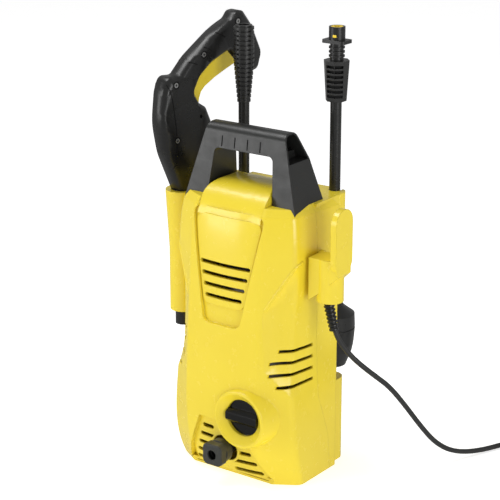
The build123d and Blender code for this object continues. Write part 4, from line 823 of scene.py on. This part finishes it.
@dataclass
class WaistFacet:
    """The shallow facet that pinches each front corner of the housing at its waist, in metres."""

    upper: tuple[Point, Point] = ((0.057, 0.0, 0.233), (0.091, 0.0, 0.295))
    lower: tuple[Point, Point] = ((0.093, 0.0, 0.1186), (0.062, 0.0, 0.154))
    waist: tuple[Point, Point] = ((0.061, 0.0, 0.154), (0.056, 0.0, 0.233))
    depth: float = 0.0068
    upper_run: float = 0.012
    lower_run: float = 0.024
    waist_run: float = 0.022
    bands: tuple[float, ...] = (0.0, 0.004, 0.008, 0.012, 0.018, 0.024)
    inward: tuple[float, float] = (0.40, 0.92)
    front_y: float = -0.052
    rear_y: float = -0.012
    reach_x: tuple[float, float] = (0.050, 0.098)
    reach_z: tuple[float, float] = (0.106, 0.312)
    step: float = 0.007
    ridge: float = 0.0022
    ridge_sunk: float = 0.55
    ridge_steps: int = 24
    ray_y: float = -0.2

    def _inside(self, side: float, rise: float, near: Point, far: Point) -> float:
        """How far a place lies inside a crease, less than 0 outside it.

        Args:
            side: the distance from the middle of the housing.
            rise: the height.
            near: the crease's first point.
            far: the crease's second point, with the facet on its right.

        Returns:
            The distance.
        """
        way = (Vector(far) - Vector(near)).normalized()
        return (side - near[0]) * way.z - (rise - near[2]) * way.x

    def sink(self, point: Vector) -> Vector:
        """How far a point of the shell moves inwards.

        Args:
            point: the point.

        Returns:
            The move.
        """
        side = abs(point.x)
        runs = (self.upper_run, self.lower_run, self.waist_run)
        creases = (self.upper, self.lower, self.waist)
        inside = min(self._inside(side, point.z, *crease) / run for crease, run in zip(creases, runs))
        share = min(1.0, max(0.0, inside))
        share = 1.0 - (1.0 - share) ** 2
        fade = min(1.0, max(0.0, (self.rear_y - point.y) / (self.rear_y - self.front_y)))
        depth = self.depth * share * fade * fade * (3.0 - 2.0 * fade)
        return Vector((math.copysign(depth * self.inward[0], -point.x), depth * self.inward[1], 0.0))

    def cut(self, work: bmesh.types.BMesh) -> None:
        """Cuts the creases and a fine net into the shell and sinks the facet.

        Args:
            work: the working copy of the shell.
        """
        for side in (-1.0, 1.0):
            for near, far in (self.upper, self.lower, self.waist):
                way = (Vector(far) - Vector(near)).normalized()
                across = Vector((side * way.z, 0, -way.x))
                for band in self.bands:
                    self._slice(work, side, Vector((side * near[0], 0, near[2])) + across * band, across)
            for step in range(1, round((self.reach_x[1] - self.reach_x[0]) / self.step)):
                place = Vector((side * (self.reach_x[0] + step * self.step), 0, 0))
                self._slice(work, side, place, Vector((1, 0, 0)))
            for step in range(1, round((self.reach_z[1] - self.reach_z[0]) / self.step)):
                place = Vector((0, 0, self.reach_z[0] + step * self.step))
                self._slice(work, side, place, Vector((0, 0, 1)))
            for step in range(1, round((self.rear_y - self.front_y) / self.step) + 1):
                place = Vector((0, self.rear_y - step * self.step, 0))
                self._slice(work, side, place, Vector((0, 1, 0)))
        bmesh.ops.triangulate(work, faces=work.faces)
        for vert in work.verts:
            vert.co += self.sink(vert.co)

    def ridges(self, tree: BVHTree) -> list[list[Vector]]:
        """The lines of the fine ridge along each upper crease.

        Args:
            tree: the shell's surface.

        Returns:
            The lines, a little under the surface.
        """
        lines: list[list[Vector]] = []
        ahead = Vector((0.0, 1.0, 0.0))
        for side in (-1.0, 1.0):
            line: list[Vector] = []
            for step in range(self.ridge_steps + 1):
                spot = Vector(self.upper[0]).lerp(Vector(self.upper[1]), step / self.ridge_steps)
                hit = tree.ray_cast(Vector((side * spot.x, self.ray_y, spot.z)), ahead)[0]
                if hit is not None:
                    fade = abs(2.0 * step / self.ridge_steps - 1.0) ** 3
                    line.append(hit + ahead * self.ridge * (self.ridge_sunk + (1.0 - self.ridge_sunk) * fade))
            lines.append(line)
        return lines

    def _slice(self, work: bmesh.types.BMesh, side: float, place: Vector, normal: Vector) -> None:
        """Cuts one plane through the faces of one corner."""
        faces = [face for face in work.faces if self._near(face, side)]
        edges = {edge for face in faces for edge in face.edges}
        verts = {vert for face in faces for vert in face.verts}
        bmesh.ops.bisect_plane(
            work, geom=[*verts, *edges, *faces], dist=MERGE, plane_co=place, plane_no=normal
        )

    def _near(self, face: bmesh.types.BMFace, side: float) -> bool:
        """Whether a face reaches into the facet's corner."""
        across = [side * vert.co.x for vert in face.verts]
        rise = [vert.co.z for vert in face.verts]
        ahead = min(vert.co.y for vert in face.verts)
        return (
            max(across) > self.reach_x[0]
            and max(rise) > self.reach_z[0]
            and min(rise) < self.reach_z[1]
            and ahead < self.rear_y
        )


@dataclass
class Housing:
    """The two yellow shells with what is screwed into them, in millimetres."""

    crease: float = 24.0
    tick_x: tuple[float, ...] = (-33.0, -14.0, 5.0, 24.0)
    tick_z: tuple[float, float] = (417.0, 430.0)
    screw_x: float = 29.0
    screw_z: tuple[float, ...] = (98.0, 203.0, 334.0)
    rear_y: float = 74.0
    plate_z: float = 150.0
    handle_rounding: float = 0.0018
    tick: float = 0.0007
    tick_steps: int = 6
    recess: tuple[float, float, float] = (0.0021, 0.0009, 0.0002)
    plate: tuple[float, float, float, float] = (0.056, 0.034, 0.0005, 0.003)

    def build(self) -> None:
        """Dresses the shells and the handle, and adds the ticks and screw recesses in painted shade, and the
        bare plate.
        """
        front = merged_copy("front_shell")
        facet = WaistFacet()
        facet.cut(front)
        shell = shaded_skin(front, "front_shell", "machine", YELLOW, self.crease)
        ridges = facet.ridges(surface_of(shell))
        piece_from(beads(ridges, facet.ridge, YELLOW), "housing_ridges", "machine")
        dress(YELLOW, "rear_shell")
        dress(STEEL, "shell_screws", "handle_screws")
        handle = bevelled_skin("carry_handle", "machine", BLACK, self.handle_rounding)
        self._ticks(handle)
        self._rear()

    def _ticks(self, handle: bpy.types.Object) -> None:
        """Lays the row of finger ticks across the front of the handle's bar as near-black beads, painted shade
        of the ticks.

        Args:
            handle: the handle, on whose surface they lie.
        """
        tree = surface_of(handle)
        low, high = self.tick_z
        lines: list[list[Vector]] = []
        for across in self.tick_x:
            heights = [low + (high - low) * step / self.tick_steps for step in range(self.tick_steps + 1)]
            starts = [metres((across, -200.0, height)) for height in heights]
            hits = [tree.ray_cast(start, Vector((0.0, 1.0, 0.0)))[0] for start in starts]
            lines.append([hit for hit in hits if hit is not None and hit.y < 0.0])
        lines = [line for line in lines if len(line) > 1]
        if lines:
            # Near-black beads: painted shade of the finger ticks.
            piece_from(beads(lines, self.tick, PAINTED_SHADE), "handle_ticks", "machine")

    def _rear(self) -> None:
        """Marks the cross recess of each rear screw with a near-black cross as painted shade and sets the bare
        plate on the back.
        """
        turn = Euler((math.radians(-90.0), 0.0, 0.0))
        spots = [(side * self.screw_x, self.rear_y, height) for side in (-1, 1) for height in self.screw_z]
        at = [(metres(spot), turn) for spot in spots]
        # Near-black crosses: painted shade in the rear screws' cross recesses.
        recess_shade = copies(cross_model(*self.recess), at, PAINTED_SHADE)
        piece_from(recess_shade, "shell_screw_recesses", "machine")
        about = Euler((0.0, 0.0, math.pi))
        middle = metres((0.0, self.rear_y, self.plate_z))
        plate = copies(plate_model(*self.plate), [(middle, about)], GREY)
        piece_from(plate, "rear_plate", "machine")


@dataclass
class SwitchAndOutlet:
    """The rotary switch, the hose outlet and the water inlet, in millimetres."""

    inlet_z: float = 42.0
    thread_r: float = 13.2
    thread_y: tuple[float, float] = (80.5, 92.5)
    thread_turns: float = 4.5
    thread_steps: int = 28
    thread_bead: float = 0.0007
    rounding: float = 0.0012

    def build(self) -> None:
        """Dresses the controls and couplings."""
        bevelled_skin("switch_knob", "knob", KNOB, self.rounding)
        dress(INNER, "switch_block", "capacitor")
        bevelled_skin("coupling_sleeve", "sleeve", GREY, self.rounding)
        dress(LANCE, "outlet_socket", "water_inlet")
        dress(STRAINER, "inlet_filter")
        thread = beads([self._thread()], self.thread_bead, LANCE)
        piece_from(thread, "inlet_thread", "machine")

    def _thread(self) -> list[Vector]:
        """The line of the inlet's thread."""
        steps = round(self.thread_turns * self.thread_steps)
        points: list[Vector] = []
        for step in range(steps + 1):
            angle = math.tau * step / self.thread_steps
            along = self.thread_y[0] + (self.thread_y[1] - self.thread_y[0]) * step / steps
            across, rise = self.thread_r * math.cos(angle), self.thread_r * math.sin(angle)
            points.append(metres((across, along, self.inlet_z + rise)))
        return points


@dataclass
class TriggerGun:
    """The trigger gun in its holster; places on it are millimetres along the gun's own plane."""

    stem: float = -125.0
    turn: float = 80.0
    side: float = 14.0
    shade_bead: float = 0.0006
    grooves: tuple[tuple[tuple[float, float], ...], ...] = (
        ((46.6, 544.3), (57.0, 535.6), (68.8, 528.7)),
        ((17.7, 530.5), (30.0, 522.4), (43.8, 516.2)),
        ((-3.4, 512.1), (8.6, 505.2), (21.5, 500.3)),
    )
    shield: tuple[tuple[float, float], ...] = (
        (-30.9, 493.6),
        (-20.8, 461.8),
        (-15.6, 429.1),
        (-13.5, 406.9),
        (-16.6, 377.6),
        (-21.2, 352.4),
    )
    screws: tuple[tuple[float, float], ...] = (
        (92.0, 546.0),
        (33.0, 511.0),
        (-14.0, 479.0),
        (-13.0, 408.0),
    )
    well: tuple[float, float, float] = (0.0050, 0.0029, 0.0006)
    well_off: float = 0.2
    recess: tuple[float, float, float] = (0.0017, 0.0008, 0.0003)
    recess_off: float = 0.15
    parts: int = 5
    ray_off: float = 60.0

    def build(self) -> None:
        """Dresses the gun and adds near-black beads, rings and crosses as painted shade in its grooves, along
        the shield's edge and in its screw wells.
        """
        near = rounded_skin("gun_near_half", "gun", GUN)
        rounded_skin("gun_far_half", "gun", GUN)
        dress(GUN, "hose_socket")
        dress(LANCE, "gun_barrel")
        dress(STEEL, "gun_screws", "trigger_pin")
        rounded_skin("trigger", "gun_trigger", TRIGGER)
        dress(TRIGGER, "trigger_lock")
        self._groove_shade_lines(near)
        self._well_and_recess_shade()

    def _groove_shade_lines(self, near: bpy.types.Object) -> None:
        """Draws the grip grooves and the shield's edge on both faces as near-black beads: painted shade in the
        grooves and along the edge.

        Args:
            near: the near half, on whose surface the lines lie.
        """
        tree = surface_of(near)
        lines: list[list[Vector]] = []
        for places in (*self.grooves, self.shield):
            line = [self._landed(tree, spot) for spot in self._divided(places)]
            lines.append([point for point in line if point is not None])
        lines = [line for line in lines if len(line) > 1]
        far = [[self._mirrored(point) for point in line] for line in lines]
        # Near-black beads: painted shade in the grip grooves and along the shield's edge.
        piece_from(beads(lines + far, self.shade_bead, PAINTED_SHADE), "gun_seams", "gun")

    def _divided(self, places: Sequence[tuple[float, float]]) -> list[tuple[float, float]]:
        """Puts more points between the given ones, so that a line can follow the surface."""
        return [
            (a[0] + (b[0] - a[0]) * part / self.parts, a[1] + (b[1] - a[1]) * part / self.parts)
            for a, b in zip(places, places[1:])
            for part in range(self.parts)
        ] + [places[-1]]

    def _landed(self, tree: BVHTree, spot: tuple[float, float]) -> Vector | None:
        """The point of the gun's near face under a place of its plane, if there is one.

        Args:
            tree: the near half's surface.
            spot: the place.

        Returns:
            The point in metres, or nothing past the gun's edge.
        """
        start = self.place(spot[0], spot[1], self.ray_off)
        hit = tree.ray_cast(start, self.place(spot[0], spot[1], 0.0) - start)
        return hit[0]

    def _mirrored(self, point: Vector) -> Vector:
        """The same point on the gun's other face."""
        out = self.place(0.0, 0.0, 1.0) - self.place(0.0, 0.0, 0.0)
        out.normalize()
        return point - 2.0 * out * out.dot(point - self.place(0.0, 0.0, 0.0))

    def _well_and_recess_shade(self) -> None:
        """Sets a near-black ring round each screw and a near-black cross on it: painted shade of the screw's
        well and of its cross recess.
        """
        turn = Euler((math.radians(90.0), 0.0, math.radians(self.turn)))
        at = [(self.place(along, height, self.side - self.well_off), turn) for along, height in self.screws]
        top = [(self.place(along, height, self.side - self.recess_off), turn) for along, height in self.screws]
        # Near-black rings and crosses: painted shade in the screw wells and cross recesses.
        well_shade = copies(ring_model(*self.well), at, PAINTED_SHADE)
        piece_from(well_shade, "gun_screw_wells", "gun")
        recess_shade = copies(cross_model(*self.recess), top, PAINTED_SHADE)
        piece_from(recess_shade, "gun_screw_recesses", "gun")

    def place(self, along: float, height: float, off: float) -> Vector:
        """A place on the gun in metres.

        Args:
            along: millimetres from the stem along the gun's plane.
            height: millimetres above the floor.
            off: millimetres out of that plane, towards the viewer.

        Returns:
            The place.
        """
        turn = math.radians(self.turn)
        return metres((
            self.stem + along * math.cos(turn) + off * math.sin(turn),
            along * math.sin(turn) - off * math.cos(turn),
            height,
        ))


@dataclass
class Lances:
    """The two spray lances standing in the rear bays, in millimetres."""

    lance_x: float = 69.5
    lance_y: float = 65.0
    rib_turns: tuple[float, ...] = (-102.0, -6.0, 78.0, 174.0)
    rib_run: tuple[tuple[float, float], ...] = ((546.5, 12.7), (500.0, 12.7), (470.0, 10.1), (458.0, 9.0))
    pocket_turns: tuple[float, ...] = (0.0, 45.0, 180.0, 225.0)
    pocket_count: int = 7
    pocket_floor: float = 10.0
    grip_top: float = 520.0
    grip_base: float = 153.3
    grip_h: float = 50.0
    pocket_h: float = 3.6
    window_turn: float = -74.5
    window_z: float = 550.2
    connector_r: float = 10.0
    window_sunk: float = 0.97
    window: tuple[float, float, float, float] = (0.0046, 0.0032, 0.0007, 0.0005)
    rib: float = 0.0009
    pocket: tuple[float, float, float, float] = (0.0104, 0.0033, 0.0004, 0.0006)
    pocket_proud: float = 0.05

    def build(self) -> None:
        """Dresses both lances and adds their ribs, near-black pocket floors as painted shade in the pockets,
        and the window.
        """
        dress(RING, "rotor_ring", "vario_ring")
        dress(LANCE, "rotor_connector", "rotor_grip", "rotor_nozzle")
        dress(LANCE, "vario_connector", "vario_grip", "vario_head", "vario_tip")
        dress(TUBE, "rotor_tube", "vario_tube")
        ribs = [self._rib(turn) for turn in self.rib_turns]
        piece_from(beads(ribs, self.rib, LANCE), "vario_ribs", "vario_twist")
        for lance, side in (("rotor", 1.0), ("vario", -1.0)):
            # Near-black plates at the pocket floors: painted shade in the grip's pockets.
            pocket_shade = copies(plate_model(*self.pocket), self._pockets(side), PAINTED_SHADE)
            piece_from(pocket_shade, f"{lance}_grip_pockets", f"{lance}_lance")
        turn = math.radians(self.window_turn)
        reach = self.connector_r * self.window_sunk
        place = metres((
            self.lance_x + reach * math.cos(turn), self.lance_y + reach * math.sin(turn), self.window_z
        ))
        pane = copies(plate_model(*self.window), [(place, Euler((0, 0, turn + math.pi / 2)))], RING)
        piece_from(pane, "rotor_window", "rotor_lance")

    def _rib(self, turn: float) -> list[Vector]:
        """One upright rib of the twist head at an angle in degrees."""
        cos, sin = math.cos(math.radians(turn)), math.sin(math.radians(turn))
        return [
            metres((-self.lance_x + reach * cos, self.lance_y + reach * sin, z)) for z, reach in self.rib_run
        ]

    def _pockets(self, side: float) -> list[tuple[Vector, Euler]]:
        """Where the floors of a grip's pockets lie.

        Args:
            side: 1 for the rotor lance, -1 for the lance that stands upside down.

        Returns:
            The places with their turns.
        """
        pitch = (self.grip_h - 2.0 * self.pocket_h) / self.pocket_count
        wide, way = (self.grip_top, -1.0) if side > 0.0 else (self.grip_base, 1.0)
        places: list[tuple[Vector, Euler]] = []
        for row in range(self.pocket_count):
            z = wide + way * (self.pocket_h + pitch * (row + 0.5))
            for degrees in self.pocket_turns:
                turn = math.radians(degrees)
                reach = self.pocket_floor + self.pocket_proud
                across, back = reach * math.sin(turn), reach * math.cos(turn)
                place = (side * self.lance_x + across, self.lance_y - back, z)
                places.append((metres(place), Euler((0.0, 0.0, turn))))
        return places


@dataclass
class DrivePack:
    """The motor and the pump inside the shells."""

    def build(self) -> None:
        """Dresses the drive."""
        dress(ALLOY, "pump_head", "pump_block", "swash_case", "lower_plate", "top_plate", "swash_plate")
        dress(STEEL, "pump_bolts", "pistons", "lower_bearing", "upper_bearing", "rotor_shaft")
        dress(MOTOR, "stator", "armature")
        dress(COPPER, "commutator")
        dress(CARBON, "carbon_brushes")
        dress(INNER, "cooling_fan")


def main() -> None:
    """Builds the studio and each sub-assembly in order."""
    logging.basicConfig(level=logging.INFO, format="%(message)s")
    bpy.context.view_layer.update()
    Studio().build()
    MainsLead().build()
    for group in (Housing(), SwitchAndOutlet(), TriggerGun(), Lances(), DrivePack()):
        group.build()


if __name__ == "__main__":
    main()
